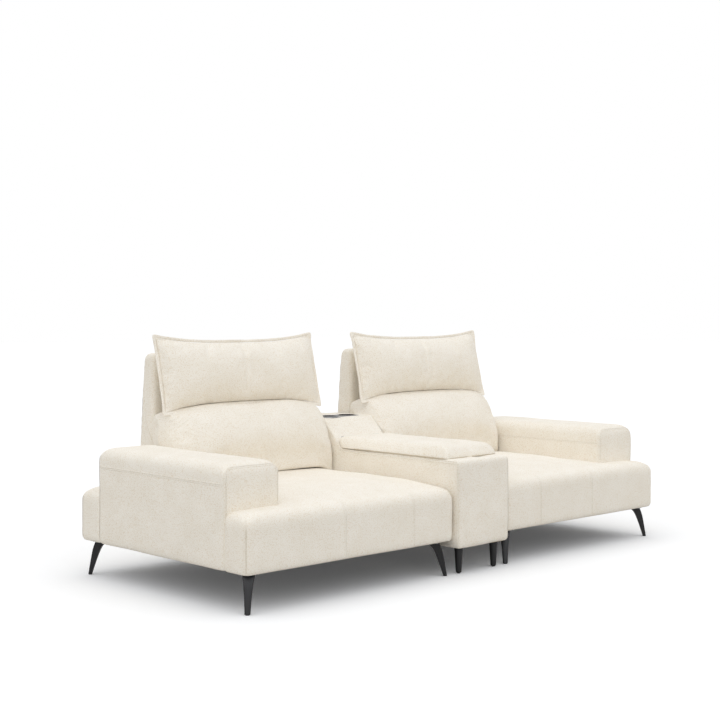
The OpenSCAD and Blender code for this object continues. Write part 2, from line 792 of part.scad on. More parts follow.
module head_pillow(side) {
    color(ivory) unit(side) at_pillow() difference() {
        pillow_form();
        box(-board_w / 2 - pocket_gap, board_w / 2 + pocket_gap, -board_drop - pocket_gap,
            board_rise + pocket_gap, -board_t / 2 - pocket_gap, board_t / 2 + pocket_gap);
        at_hinges() {
            box(-strap_t / 2 - soft_gap, strap_t / 2 + soft_gap,
                pivot_s - hub_r - over, -board_drop + tab_w + soft_gap,
                pivot_n - hub_r - over, 0);
            box(-tab_w / 2 - soft_gap, tab_w / 2 + soft_gap, -board_drop - soft_gap,
                tab_top + soft_gap, -board_t / 2 - tab_t - soft_gap, 0);
            translate([0, pivot_s, pivot_n]) rotate([0, 90, 0])
                cylinder(r = cheek_r + cheek_room, h = 2 * (hinge_half + cheek_room),
                         center = true);
        }
    }
}

module headrest_board(side) {
    color(timber) unit(side) at_pillow()
        box(-board_w / 2, board_w / 2, -board_drop, board_rise, -board_t / 2, board_t / 2);
}

module headrest_arms(side) {
    color(steel_grey) unit(side) at_pillow() at_hinges() ratchet_arm();
}

// Fixed half of a ratchet hinge: two cheeks on a flange that is screwed to the back slab
module headrest_cheeks(side) {
    color(black_satin) unit(side) translate([back_mid_x, 0, 0]) at_hinges() difference() {
        union() {
            for (way = [-1, 1])
                across(way * (strap_t / 2 + hinge_gap + cheek_t / 2), cheek_t) {
                    translate([pivot_y, pivot_z]) circle(cheek_r);
                    translate([pivot_y, pivot_z - cheek_bar_h / 2])
                        square([slab_front_y - pivot_y, cheek_bar_h]);
                }
            box(-flange_plate_w / 2, flange_plate_w / 2, slab_front_y - flange_plate_t,
                slab_front_y, pivot_z - cheek_bar_h / 2,
                pivot_z - cheek_bar_h / 2 + flange_plate_h);
        }
        translate([0, pivot_y, pivot_z]) rotate([0, 90, 0])
            cylinder(r = hinge_pin_r + pin_gap, h = flange_plate_w, center = true);
    }
}

module headrest_pins(side) {
    reach = strap_t / 2 + hinge_gap + cheek_t;
    color(steel_grey) unit(side) translate([back_mid_x, pivot_y, pivot_z]) at_hinges() union() {
        rotate([0, 90, 0]) cylinder(r = hinge_pin_r, h = 2 * (reach + pin_head_t), center = true);
        for (way = [-1, 1])
            translate([way * (reach + pin_head_t / 2), 0, 0]) rotate([0, 90, 0])
                cylinder(r = pin_head_r, h = pin_head_t, center = true);
    }
}

dust_inset = 17;

module dust_cover(side) {
    color(black_cloth) unit(side) difference() {
        translate([0, 0, leg_h - dust_t]) linear_extrude(dust_t)
            plate_outline(inner_x + dust_inset, outer_x - dust_inset, dust_inset,
                          seat_d - dust_inset, seat_corner_r);
        screw_holes(screw_r + screw_gap, leg_h - dust_t - over, leg_h + over);
    }
}

// Blade leg, drawn with +X along its splay and its tip at the origin. Each row is a height, the
// rear and the front edge along the splay and the width there, as shares of the leg's height, of
// the splay, and of the change from the tip's width to the top's.
blade_rows = [
    [0, 0, 0, 0], [0.25, 0.14, 0.08, 0.12], [0.5, 0.3, 0.18, 0.3], [0.7, 0.48, 0.26, 0.52],
    [0.82, 0.66, 0.33, 0.72], [0.9, 0.88, 0.38, 0.86], [0.96, 1.16, 0.43, 0.96], [1, 1.42, 0.47, 1]];
blade_flat_share = 0.36;

function blade_section(row, height) =
    let (z = glide_t + height * row[0],
         inner = -blade_tip_t / 2 - row[1] * blade_splay,
         outer = blade_tip_t / 2 - row[2] * (blade_splay + blade_tip_t),
         half = (blade_tip_w + (blade_top_w - blade_tip_w) * row[3]) / 2)
    [[inner, -half * blade_flat_share, z], [inner + ridge, -half, z], [outer - ridge, -half, z],
     [outer, 0, z], [outer - ridge, half, z], [inner + ridge, half, z],
     [inner, half * blade_flat_share, z]];

module blade_leg(side, i) {
    height = leg_h - dust_t - plate_t - glide_t;
    color(black_satin) unit(side) at_leg(i)
        skin([for (row = blade_rows) blade_section(row, height)]);
}

module leg_plates(side) {
    z0 = leg_h - dust_t - plate_t;
    color(black_satin) unit(side) difference() {
        for (i = [0 : 3])
            at_leg(i) translate([0, 0, z0]) linear_extrude(plate_t)
                plate_outline(-plate_back - plate_l / 2, -plate_back + plate_l / 2,
                              -plate_w / 2, plate_w / 2, plate_corner_r);
        screw_holes(screw_r + screw_gap, z0 - over, leg_h);
    }
}

module leg_screws(side) {
    z0 = leg_h - dust_t - plate_t;
    color(steel_grey) unit(side)
        for (i = [0 : 3])
            at_leg(i) at_screws() union() {
                translate([0, 0, z0 - screw_head_t]) cylinder(r = screw_head_r, h = screw_head_t);
                translate([0, 0, z0 - screw_head_t])
                    cylinder(r = screw_r, h = screw_head_t + screw_l);
            }
}

module leg_glides(side) {
    color(black_satin) unit(side)
        for (i = [0 : 3])
            at_leg(i) cylinder(r = glide_r, h = glide_t);
}

// Slope of the console: y at a height, and height at a y
function slope_y(z) = slope_foot_y + (z - console_rim_h) / tan(slope_deg);
function slope_z(y) = console_rim_h + (y - slope_foot_y) * tan(slope_deg);

// Side outline of the console, drawn in by e: rounded corners keep their middles
function console_outline(e) =
    let (half_turn = slope_deg / 2,
         r = console_corner_r,
         foot = [slope_foot_y - foot_fillet_r * tan(half_turn), console_rim_h + foot_fillet_r],
         crest = [slope_y(console_block_h) + block_crest_r * tan(half_turn),
                  console_block_h - block_crest_r])
    concat(
        arc(console_front_y + r, console_leg_h + r, r - e, 270, 180, 3),
        arc(console_front_y + r, console_rim_h - r, r - e, 180, 90, 3),
        arc(foot[0], foot[1], foot_fillet_r + e, 270, 270 + slope_deg, 2),
        arc(crest[0], crest[1], block_crest_r - e, 90 + slope_deg, 90, 4),
        arc(console_rear_y - block_rear_r, console_block_h - block_rear_r, block_rear_r - e, 90, 0, 3),
        arc(console_rear_y - r, console_leg_h + r, r - e, 0, -90, 3)
    );

// The console's plywood, as a side outline that lies inside the padding
module ply_outline(gap, foot) {
    rim = console_rim_h - crim_t + gap;
    top = console_block_h - cpad_t + gap;
    lean = cpad_t / sin(slope_deg) - gap;
    polygon([[console_front_y + cpad_t - gap, foot],
             [console_front_y + cpad_t - gap, rim],
             [slope_y(rim) + lean, rim],
             [slope_y(top) + lean, top],
             [console_rear_y - cpad_t + gap, top],
             [console_rear_y - cpad_t + gap, foot]]);
}

mouth_x = console_w / 2 - mouth_side;
mouth_y0 = console_front_y + mouth_front;
mouth_y1 = slope_foot_y - mouth_rear;

module cup_places() {
    for (x = [-cup_pitch / 2, cup_pitch / 2])
        translate([x, cup_y, 0]) children();
}

// Padded cover of the console, with the bin mouth, the cup recess and room for the hinge knuckles
module console_cover() {
    near = rolled_ends(console_side_r);
    count = len(near);
    half = console_w / 2;
    color(ivory) placed() difference() {
        skin(backward(concat(
            [for (n = near) at_x(-half + n[0], console_outline(n[1]))],
            [for (k = [count - 1 : -1 : 0]) at_x(half - near[k][0], console_outline(near[k][1]))]
        )));
        across(0, console_w - 2 * cpad_t + 2 * pocket_gap)
            ply_outline(pocket_gap, console_leg_h - over);
        box(-mouth_x, mouth_x, mouth_y0, mouth_y1, console_rim_h - 2 * cpad_t,
            console_rim_h + over);
        box(-cup_plate_w / 2 - pocket_gap, cup_plate_w / 2 + pocket_gap,
            cup_y - cup_plate_d / 2 - pocket_gap, cup_y + cup_plate_d / 2 + pocket_gap,
            console_block_h - cup_plate_sink, console_block_h + over);
        cup_places()
            translate([0, 0, console_block_h - cup_depth])
                cylinder(r = cup_r + cup_wall + cup_hole_gap, h = cup_depth + over);
        at_lid_hinges() knuckle_room();
    }
}

// Plywood carcass: bin chamber in front, cup chamber behind, a slope board between them
module console_frame() {
    w = console_w - 2 * cpad_t;
    inner = w / 2 - cply_t;
    front = console_front_y + cpad_t + cply_t;
    rear = console_rear_y - cpad_t - cply_t;
    divider = slope_foot_y + divider_gap;
    rim = console_rim_h - crim_t;
    floor_z = console_leg_h + cply_t;
    ceiling_z = console_block_h - cpad_t - cply_t;
    slope_board = (cpad_t + cply_t) / sin(slope_deg);
    color(timber) placed() difference() {
        across(0, w) ply_outline(0, console_leg_h);
        box(-inner, inner, front, divider - cply_t, floor_z, rim - cply_t);
        across(0, 2 * inner)
            polygon([[divider, floor_z], [divider, slope_z(divider - slope_board)],
                     [slope_y(ceiling_z) + slope_board, ceiling_z], [rear, ceiling_z],
                     [rear, floor_z]]);
        box(-mouth_x + bin_flange_w, mouth_x - bin_flange_w, mouth_y0 + bin_flange_w,
            mouth_y1 - bin_flange_w, rim - 2 * cply_t, rim + over);
        cup_places()
            translate([0, 0, console_block_h - cup_depth - cup_wall])
                cylinder(r = cup_r + cup_wall + cup_hole_gap, h = cup_depth);
    }
}

// Drop-in bin: its flange rests on the carcass round the mouth
module storage_bin() {
    rim = console_rim_h - crim_t;
    x = mouth_x - bin_flange_w - bin_drop_gap;
    y0 = mouth_y0 + bin_flange_w + bin_drop_gap;
    y1 = mouth_y1 - bin_flange_w - bin_drop_gap;
    color(black_cloth) placed() difference() {
        union() {
            box(-mouth_x + bin_drop_gap, mouth_x - bin_drop_gap, mouth_y0 + bin_drop_gap,
                mouth_y1 - bin_drop_gap, rim, rim + bin_wall);
            box(-x, x, y0, y1, bin_floor_z, rim + bin_wall);
        }
        box(-x + bin_wall, x - bin_wall, y0 + bin_wall, y1 - bin_wall, bin_floor_z + bin_wall,
            rim + bin_wall + over);
    }
}

lid_z = console_rim_h + lid_gap;
lid_front_y = console_front_y + lid_setback;
lid_wall_top = lid_z + lid_t - lid_roll_r;
slope_gap_y = slope_gap / sin(slope_deg);

// One ring of the lid pad: its rear edge follows the slope, and rolls little
function lid_ring(i, z, rear) =
    ring(-console_w / 2 + i, console_w / 2 - i, lid_front_y + i, slope_y(z) - slope_gap_y - rear,
         lid_corner_r, z);
// Foot of the lid pad: height as a share of the wall, and how far it is drawn in
lid_foot_shares = [[0, 0.5], [0.12, 0.12], [0.35, 0], [1, 0]];
lid_rear_roll_share = 0.5;
lid_crown_run = 110;

module lid_form() {
    skin(concat(
        [for (w = lid_foot_shares)
            lid_ring(lid_corner_r * w[1], lid_z + (lid_wall_top - lid_z) * w[0], 0)],
        [for (a = roll_steps)
            let (i = lid_roll_r * (1 - cos(a)))
            lid_ring(i, lid_wall_top + lid_roll_r * sin(a), i * lid_rear_roll_share)],
        [for (s = crown_shares)
            let (i = lid_roll_r + (lid_crown_run - lid_roll_r) * s,
                 z = lid_wall_top + lid_roll_r)
            [for (p = lid_ring(i, z, i)) [p[0], p[1], z + lid_crown * sin(90 * s)]]]
    ));
}

// Board and rear batten of the lid, as one side outline that starts at a height foot
module lid_board_outline(gap, foot) {
    rear0 = slope_y(lid_z) - slope_gap_y - lid_skin / sin(slope_deg) + gap;
    rear1 = rear0 + batten_h / tan(slope_deg);
    polygon([[lid_front_y + lid_board_inset - gap, foot],
             [rear0, foot], [rear0, lid_z], [rear1, lid_z + batten_h + gap],
             [rear1 - batten_l - gap, lid_z + batten_h + gap],
             [rear1 - batten_l - gap, lid_z + lid_board_t + gap],
             [lid_front_y + lid_board_inset - gap, lid_z + lid_board_t + gap]]);
}

module console_lid_pad() {
    w = console_w - 2 * lid_board_inset;
    color(ivory) placed() difference() {
        lid_form();
        across(0, w + 2 * pocket_gap) lid_board_outline(pocket_gap, lid_z - over);
        at_lid_hinges() knuckle_room();
    }
}

module console_lid_board() {
    color(timber) placed()
        across(0, console_w - 2 * lid_board_inset) lid_board_outline(0, lid_z);
}

// Puts a lid hinge with its pin along X: +Y runs down the slope, +Z points to the lid
lid_pivot_y = slope_y(lid_pivot_z) - slope_gap_y / 2;
module at_lid_hinges() {
    for (x = [-lid_hinge_reach, lid_hinge_reach])
        translate([x, lid_pivot_y, lid_pivot_z]) rotate([slope_deg, 0, 0]) rotate([0, 0, 180])
            children();
}

module barrel(x0, x1, r) {
    translate([x0, 0, 0]) rotate([0, 90, 0]) cylinder(r = r, h = x1 - x0);
}

module knuckle_room() {
    barrel(-leaf_w / 2 - knuckle_clear, leaf_w / 2 + knuckle_clear, knuckle_r + knuckle_clear);
}

leaf_lift = (slope_gap / 2 - leaf_t);

// way is 1 for the lid's leaf and -1 for the block's
module leaf(way) {
    z0 = way > 0 ? leaf_lift : -leaf_lift - leaf_t;
    translate([-leaf_w / 2, leaf_start, z0]) cube([leaf_w, leaf_l - leaf_start, leaf_t]);
}

module leaf_web(x0, x1, way) {
    z0 = way > 0 ? leaf_lift : -leaf_lift - leaf_t;
    translate([x0, 0, z0]) cube([x1 - x0, leaf_start + leaf_t, leaf_t]);
}

third = leaf_w * knuckle_share / 2;

module lid_hinge_fixed_leaves() {
    color(steel_grey) placed() at_lid_hinges() difference() {
        union() {
            leaf(-1);
            for (way = [-1, 1]) {
                x0 = way > 0 ? third + knuckle_gap / 2 : -leaf_w / 2;
                x1 = way > 0 ? leaf_w / 2 : -third - knuckle_gap / 2;
                barrel(x0, x1, knuckle_r);
                leaf_web(x0, x1, -1);
            }
        }
        barrel(-leaf_w, leaf_w, lid_pin_r + pin_gap);
    }
}

module lid_hinge_moving_leaves() {
    color(steel_grey) placed() at_lid_hinges() difference() {
        union() {
            leaf(1);
            barrel(-third + knuckle_gap / 2, third - knuckle_gap / 2, knuckle_r);
            leaf_web(-third + knuckle_gap / 2, third - knuckle_gap / 2, 1);
        }
        barrel(-leaf_w, leaf_w, lid_pin_r + pin_gap);
    }
}

module lid_hinge_pins() {
    color(steel_grey) placed() at_lid_hinges() barrel(-leaf_w / 2, leaf_w / 2, lid_pin_r);
}

cup_plate_z = console_block_h - cup_plate_sink;

module cup_plate() {
    color(plate_grey) placed() difference() {
        translate([0, 0, cup_plate_z]) linear_extrude(cup_plate_t)
            plate_outline(-cup_plate_w / 2, cup_plate_w / 2, cup_y - cup_plate_d / 2,
                          cup_y + cup_plate_d / 2, cup_plate_r);
        cup_places()
            translate([0, 0, cup_plate_z - over])
                cylinder(r = cup_r + cup_wall + cup_hole_gap, h = cup_plate_t + 2 * over);
    }
}

// Pressed steel wells: each hangs by its rim on the plate
module cup_wells() {
    top = cup_plate_z + cup_plate_t + cup_rim_t;
    color(black_satin) placed() cup_places() difference() {
        union() {
            translate([0, 0, top - cup_rim_t])
                cylinder(r = cup_r + cup_wall + cup_rim_w, h = cup_rim_t);
            translate([0, 0, top - cup_depth - cup_wall])
                cylinder(r = cup_r + cup_wall, h = cup_depth + cup_wall);
        }
        translate([0, 0, top - cup_depth]) cylinder(r = cup_r, h = cup_depth + over);
    }
}

module at_console_legs() {
    for (x = [-console_w / 2 + round_leg_inset, console_w / 2 - round_leg_inset])
        for (y = [console_front_y + round_leg_inset, console_rear_y - round_leg_inset])
            translate([x, y, 0]) children();
}

// Turned taper legs with a rounded tip
round_tip_r = 6;

module console_legs() {
    top = console_leg_h - dust_t;
    color(black_satin) placed() at_console_legs() rotate_extrude() {
        polygon([[0, glide_t], [round_leg_tip_d / 2 - round_tip_r, glide_t],
                 [round_leg_tip_d / 2, glide_t + round_tip_r],
                 [round_leg_top_d / 2, top], [0, top]]);
        intersection() {
            translate([round_leg_tip_d / 2 - round_tip_r, glide_t + round_tip_r])
                circle(round_tip_r);
            square([round_leg_tip_d / 2, glide_t + round_tip_r]);
        }
    }
}

module console_leg_glides() {
    color(black_satin) placed() at_console_legs()
        cylinder(r = round_leg_tip_d / 2 - round_tip_r, h = glide_t);
}

module console_dust_cover() {
    color(black_cloth) placed()
        translate([0, 0, console_leg_h - dust_t]) linear_extrude(dust_t)
            plate_outline(-console_w / 2 + dust_inset, console_w / 2 - dust_inset,
                          console_front_y + dust_inset, console_rear_y - dust_inset,
                          console_corner_r);
}

// Steel angles that hold each seat unit to the console, under the units
module joining_brackets() {
    z1 = leg_h - dust_t;
    color(black_satin) placed()
        for (side = [LEFT, RIGHT])
            for (share = [bracket_front_share, bracket_rear_share])
                mirror([side == LEFT ? 1 : 0, 0, 0]) translate([0, seat_d * share, 0]) union() {
                    box(console_w / 2, inner_x + bracket_foot, -bracket_w / 2, bracket_w / 2,
                        z1 - bracket_t, z1);
                    box(console_w / 2, console_w / 2 + bracket_t, -bracket_w / 2, bracket_w / 2,
                        z1 - bracket_drop, z1);
                }
}

seat_cover(LEFT);  // left_seat_cover
seat_cover(RIGHT);  // right_seat_cover
seat_frame(LEFT);  // left_seat_frame
seat_frame(RIGHT);  // right_seat_frame
seat_springs(LEFT);  // left_seat_springs
seat_springs(RIGHT);  // right_seat_springs
seat_foam(LEFT);  // left_seat_foam
seat_foam(RIGHT);  // right_seat_foam
arm_cover(LEFT);  // left_arm_cover
arm_cover(RIGHT);  // right_arm_cover
arm_frame(LEFT);  // left_arm_frame
arm_frame(RIGHT);  // right_arm_frame
back_cover(LEFT);  // left_back_cover
back_cover(RIGHT);  // right_back_cover
back_frame(LEFT);  // left_back_frame
back_frame(RIGHT);  // right_back_frame
back_webbing(LEFT);  // left_back_webbing
back_webbing(RIGHT);  // right_back_webbing
back_cushion(LEFT);  // left_back_cushion
back_cushion(RIGHT);  // right_back_cushion
head_pillow(LEFT);  // left_head_pillow
head_pillow(RIGHT);  // right_head_pillow
headrest_board(LEFT);  // left_headrest_board
headrest_board(RIGHT);  // right_headrest_board
headrest_cheeks(LEFT);  // left_headrest_cheeks
headrest_cheeks(RIGHT);  // right_headrest_cheeks
headrest_arms(LEFT);  // left_headrest_arms
headrest_arms(RIGHT);  // right_headrest_arms
headrest_pins(LEFT);  // left_headrest_pins
headrest_pins(RIGHT);  // right_headrest_pins
dust_cover(LEFT);  // left_dust_cover
dust_cover(RIGHT);  // right_dust_cover
blade_leg(LEFT, 0);  // left_front_outer_leg
blade_leg(RIGHT, 0);  // right_front_outer_leg
blade_leg(LEFT, 1);  // left_front_inner_leg
blade_leg(RIGHT, 1);  // right_front_inner_leg
blade_leg(LEFT, 2);  // left_rear_outer_leg
blade_leg(RIGHT, 2);  // right_rear_outer_leg
blade_leg(LEFT, 3);  // left_rear_inner_leg
blade_leg(RIGHT, 3);  // right_rear_inner_leg
leg_plates(LEFT);  // left_leg_plates
leg_plates(RIGHT);  // right_leg_plates
leg_screws(LEFT);  // left_leg_screws
leg_screws(RIGHT);  // right_leg_screws
leg_glides(LEFT);  // left_leg_glides
leg_glides(RIGHT);  // right_leg_glides
console_cover();
console_frame();
storage_bin();
console_lid_pad();
console_lid_board();
lid_hinge_fixed_leaves();
lid_hinge_moving_leaves();
lid_hinge_pins();
cup_plate();
cup_wells();
console_legs();
console_leg_glides();
console_dust_cover();
joining_brackets();
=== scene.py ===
# %% [markdown]
# # A sofa with a console between its seats
# Two wide seat units mirror each other about a narrow storage console. The CAD frame brings
# every rigid piece in its true place, in metres, with the floor at z = 0 and the front towards
# -Y. What this file adds is what an upholsterer adds: the padded covers, their seams and stitches,
# and a finish for every visible and hidden surface.

import json
import math

import bmesh
import bpy
import numpy as np
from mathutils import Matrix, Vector
from mathutils.bvhtree import BVHTree

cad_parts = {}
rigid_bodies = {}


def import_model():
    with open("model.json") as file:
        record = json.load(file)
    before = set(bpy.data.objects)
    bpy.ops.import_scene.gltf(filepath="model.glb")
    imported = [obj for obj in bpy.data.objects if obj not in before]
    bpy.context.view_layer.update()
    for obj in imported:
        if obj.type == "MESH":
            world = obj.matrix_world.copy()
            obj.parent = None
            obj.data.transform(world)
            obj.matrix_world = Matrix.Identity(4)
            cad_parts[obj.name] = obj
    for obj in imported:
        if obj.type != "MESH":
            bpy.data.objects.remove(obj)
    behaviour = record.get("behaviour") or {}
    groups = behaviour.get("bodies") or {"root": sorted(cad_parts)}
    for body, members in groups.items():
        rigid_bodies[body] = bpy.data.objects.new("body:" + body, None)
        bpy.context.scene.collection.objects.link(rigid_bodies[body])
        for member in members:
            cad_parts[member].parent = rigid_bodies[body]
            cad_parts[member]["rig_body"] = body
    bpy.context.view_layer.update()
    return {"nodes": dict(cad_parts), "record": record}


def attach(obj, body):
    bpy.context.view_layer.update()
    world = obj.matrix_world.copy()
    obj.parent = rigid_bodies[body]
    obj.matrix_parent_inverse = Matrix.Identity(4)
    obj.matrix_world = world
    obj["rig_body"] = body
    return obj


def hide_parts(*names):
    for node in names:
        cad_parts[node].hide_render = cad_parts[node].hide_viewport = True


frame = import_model()

# %% [markdown]
# The drawing office measures this sofa in millimetres, from the front face of the platforms and
# from the middle of the console. Each seat unit is drawn once, on the +X side. The other one is
# its mirror image, so one pattern piece serves both, as in the workshop.

# %% Millimetres to the frame
FRONT = -569.5
IN_X, OUT_X = 170.0, 1318.0
SEAT_D = 1161.0
LEG_H = 154.0
MM = 1000.0
SIDES = {"left": -1.0, "right": 1.0}


def placed(points, side=1.0):
    """Millimetres from the platform's front face to metres in the frame, on either side."""
    out = np.array(points, float)
    out[:, 0] *= side
    out[:, 1] += FRONT
    return out / MM


print("seat unit", OUT_X - IN_X, "wide,", SEAT_D, "deep")

# %% [markdown]
# Colours are written as the sRGB hex values a dyer's card would show. Blender's shaders work in
# linear light, so one function turns each hex value to linear numbers.

# %% One function for colour
def linear(hex_code):
    """sRGB hex to linear RGBA."""
    out = []
    for k in (1, 3, 5):
        c = int(hex_code[k:k + 2], 16) / 255.0
        out.append(c / 12.92 if c <= 0.04045 else ((c + 0.055) / 1.055) ** 2.4)
    return (*out, 1.0)


print("ivory in linear light", [round(c, 3) for c in linear("#EFE9DD")[:3]])

# %% [markdown]
# Every finish is a small network of nodes. They could be wired one by one, but one helper that
# adds a node, sets it and links it keeps each finish readable: it names the node's kind, its
# settings and what feeds each input.

# %% One function for nodes
def add_node(tree, kind, settings=None, inputs=None):
    """Adds a node, sets its properties and its inputs. An input given as a socket is linked."""
    made = tree.nodes.new(kind)
    for key, value in (settings or {}).items():
        setattr(made, key, value)
    for key, value in (inputs or {}).items():
        if isinstance(value, bpy.types.NodeSocket):
            tree.links.new(value, made.inputs[key])
        else:
            made.inputs[key].default_value = value
    return made


print("node helper ready")

# %% [markdown]
# Four steps come back in every finish. It starts as an empty Principled shader. Its patterns are
# laid in the object's own space, in millimetres, because most pieces have no UVs. A pattern
# carries two tones, and its height becomes relief. A ramp node could carry the tones as well, but
# a map range and a mix say in two plain numbers where the change starts and ends.

# %% Steps that every finish shares
def new_finish(name):
    """An empty material with a Principled shader, and its node tree."""
    finish = bpy.data.materials.new(name)
    finish.use_nodes = True
    tree = finish.node_tree
    tree.nodes.clear()
    shader = add_node(tree, "ShaderNodeBsdfPrincipled")
    add_node(tree, "ShaderNodeOutputMaterial", None, {"Surface": shader.outputs["BSDF"]})
    return finish, tree, shader


def in_millimetres(tree, stretch=(1.0, 1.0, 1.0)):
    """The object's own space in millimetres. A stretch below 1 draws a pattern out."""
    where = add_node(tree, "ShaderNodeTexCoord")
    scaled = add_node(tree, "ShaderNodeMapping", None,
                      {"Vector": where.outputs["Object"],
                       "Scale": tuple(MM * s for s in stretch)})
    return scaled.outputs["Vector"]


def two_toned(tree, pattern, low, high, tones):
    """From the first hex colour to the second, while the pattern goes from low to high."""
    spread = add_node(tree, "ShaderNodeMapRange", None,
                      {"Value": pattern, "From Min": low, "From Max": high})
    tone = add_node(tree, "ShaderNodeMix", {"data_type": "RGBA"},
                    {"Factor": spread.outputs["Result"], 6: linear(tones[0]),
                     7: linear(tones[1])})
    return tone.outputs[2]


def surfaced(tree, shader, colour, height, strength, depth_mm, hollows=False):
    """Gives the shader its colour and its relief. With hollows, a high pattern lies low."""
    relief = add_node(tree, "ShaderNodeBump", {"invert": hollows},
                      {"Height": height, "Strength": strength, "Distance": depth_mm / MM})
    tree.links.new(colour, shader.inputs["Base Color"])
    tree.links.new(relief.outputs["Normal"], shader.inputs["Normal"])


print("four shared steps")

# %% [markdown]
# The cover is a heavy polyester chenille-boucle in warm ivory, woven with looped yarn about 1.5 mm
# thick. In the photograph it is matt, with a fine fleck, and hollows look a little darker and
# warmer than crests; here that darker, warmer tone is painted shade between the loops. A picture
# of cloth would need UVs and would stretch over the padding, so the loops are a cellular pattern,
# bent by a slow noise, with a finer noise for the yarn. The real loops are too fine for the
# picture, so they are drawn 3.8 mm across.

# %% Loops of the ivory cloth
LOOP_MM, YARN_MM = 3.8, 1.4
WANDER_MM, WANDER_BY_MM = 7.0, 2.4
YARN_SHARE = 0.35


def looped(tree):
    """Distance down from the crests of the loops, in loops."""
    space = in_millimetres(tree)
    wander = add_node(tree, "ShaderNodeTexNoise", None,
                      {"Vector": space, "Scale": 1 / WANDER_MM, "Detail": 2.0})
    bent = add_node(tree, "ShaderNodeVectorMath", {"operation": "MULTIPLY_ADD"},
                    {0: wander.outputs["Color"], 1: (WANDER_BY_MM,) * 3, 2: space})
    loops = add_node(tree, "ShaderNodeTexVoronoi", {"feature": "SMOOTH_F1"},
                     {"Vector": bent.outputs["Vector"], "Scale": 1 / LOOP_MM,
                      "Smoothness": 0.35})
    yarn = add_node(tree, "ShaderNodeTexNoise", None,
                    {"Vector": space, "Scale": 1 / YARN_MM, "Detail": 3.0, "Roughness": 0.7})
    down = add_node(tree, "ShaderNodeMath", {"operation": "MULTIPLY_ADD"},
                    {0: yarn.outputs["Fac"], 1: YARN_SHARE, 2: loops.outputs["Distance"]})
    return down.outputs["Value"]


print("cloth loops drawn", LOOP_MM, "mm across")

# %% [markdown]
# The loops are light on their crests and darker between them, where the darker, warmer tone is
# painted shade, and hands leave broad, faint marks on such a pile. The pile scatters light, which
# is a high roughness and a little sheen.

# %% Woven ivory upholstery
HANDLED_MM = 90.0
PILE = {"Roughness": 0.95, "Specular IOR Level": 0.25, "Sheen Weight": 0.12,
        "Sheen Roughness": 0.6}


def cloth_colour(tree, down, tones):
    """The cloth's colour from the distance below its crests, with painted shade between the loops.
    """
    handled = add_node(tree, "ShaderNodeTexNoise", None,
                       {"Vector": in_millimetres(tree), "Scale": 1 / HANDLED_MM,
                        "Detail": 2.0})
    marks = two_toned(tree, handled.outputs["Fac"], 0.3, 0.7, ("#FBFAF8", "#FFFFFF"))
    # The second of the tones is painted shade in the hollows between the loops.
    cloth = add_node(tree, "ShaderNodeMix", {"data_type": "RGBA", "blend_type": "MULTIPLY"},
                     {"Factor": 1.0, 6: two_toned(tree, down, 0.62, 1.0, tones), 7: marks})
    return cloth.outputs[2]


def piled(tree, shader, colour, height):
    """Turns the shader into cloth with a pile of loops about a millimetre deep."""
    surfaced(tree, shader, colour, height, 0.55, 1.0, hollows=True)
    for key, value in PILE.items():
        shader.inputs[key].default_value = value


ivory, tree, shader = new_finish("ivory woven upholstery")
down = looped(tree)
piled(tree, shader, cloth_colour(tree, down, ("#FBF6EC", "#EEE3D1")), down)
print(ivory.name, "with marks", HANDLED_MM, "mm wide")

# %% [markdown]
# The seams show the same cloth with two rows of thread. Each stitch could be a small mesh, but
# there are thousands. The seam ribbons further on carry UVs in millimetres, along the seam and
# across it, so the stitches and the groove between the two panels, darkened with painted shade,
# are drawn from those.

# %% Stitched ivory cloth
STITCH_MM, STITCH_GAP_MM = 7.0, 0.98
STITCH_ROW_MM, THREAD_MM = 3.4, 0.55
GROOVE_MM = (0.9, 2.2)


def stitched(tree, colour, height):
    """Colour and height with a groove darkened by painted shade and two rows of thread along the
    UVs.
    """
    where = add_node(tree, "ShaderNodeTexCoord")
    along = add_node(tree, "ShaderNodeSeparateXYZ", None, {"Vector": where.outputs["UV"]})
    dash = add_node(tree, "ShaderNodeMath", {"operation": "PINGPONG"},
                    {0: along.outputs["X"], 1: STITCH_MM / 2})
    shown = add_node(tree, "ShaderNodeMath", {"operation": "GREATER_THAN"},
                     {0: dash.outputs["Value"], 1: STITCH_GAP_MM})
    away = add_node(tree, "ShaderNodeMath", {"operation": "ABSOLUTE"}, {0: along.outputs["Y"]})
    row = add_node(tree, "ShaderNodeMath", {"operation": "COMPARE"},
                   {0: away.outputs["Value"], 1: STITCH_ROW_MM, 2: THREAD_MM})
    thread = add_node(tree, "ShaderNodeMath", {"operation": "MULTIPLY"},
                      {0: shown.outputs["Value"], 1: row.outputs["Value"]})
    groove = add_node(tree, "ShaderNodeMapRange", None,
                      {"Value": away.outputs["Value"], "From Min": GROOVE_MM[0],
                       "From Max": GROOVE_MM[1], "To Min": 0.85, "To Max": 0.0})
    # The groove between the panels is darkened here with painted shade.
    shaded = add_node(tree, "ShaderNodeMix", {"data_type": "RGBA"},
                      {"Factor": groove.outputs["Result"], 6: colour, 7: linear("#B9A88B")})
    threaded = add_node(tree, "ShaderNodeMix", {"data_type": "RGBA"},
                        {"Factor": thread.outputs["Value"], 6: shaded.outputs[2],
                         7: linear("#FBF8F0")})
    raised = add_node(tree, "ShaderNodeMath", {"operation": "MULTIPLY_ADD"},
                      {0: thread.outputs["Value"], 1: -0.8, 2: height})
    return threaded.outputs[2], raised.outputs["Value"]


ivory_seam, tree, shader = new_finish("ivory seam with thread")
down = looped(tree)
piled(tree, shader, *stitched(tree, cloth_colour(tree, down, ("#FAF4E9", "#EADECA")), down))
print(ivory_seam.name, "with stitches", STITCH_MM, "mm long")
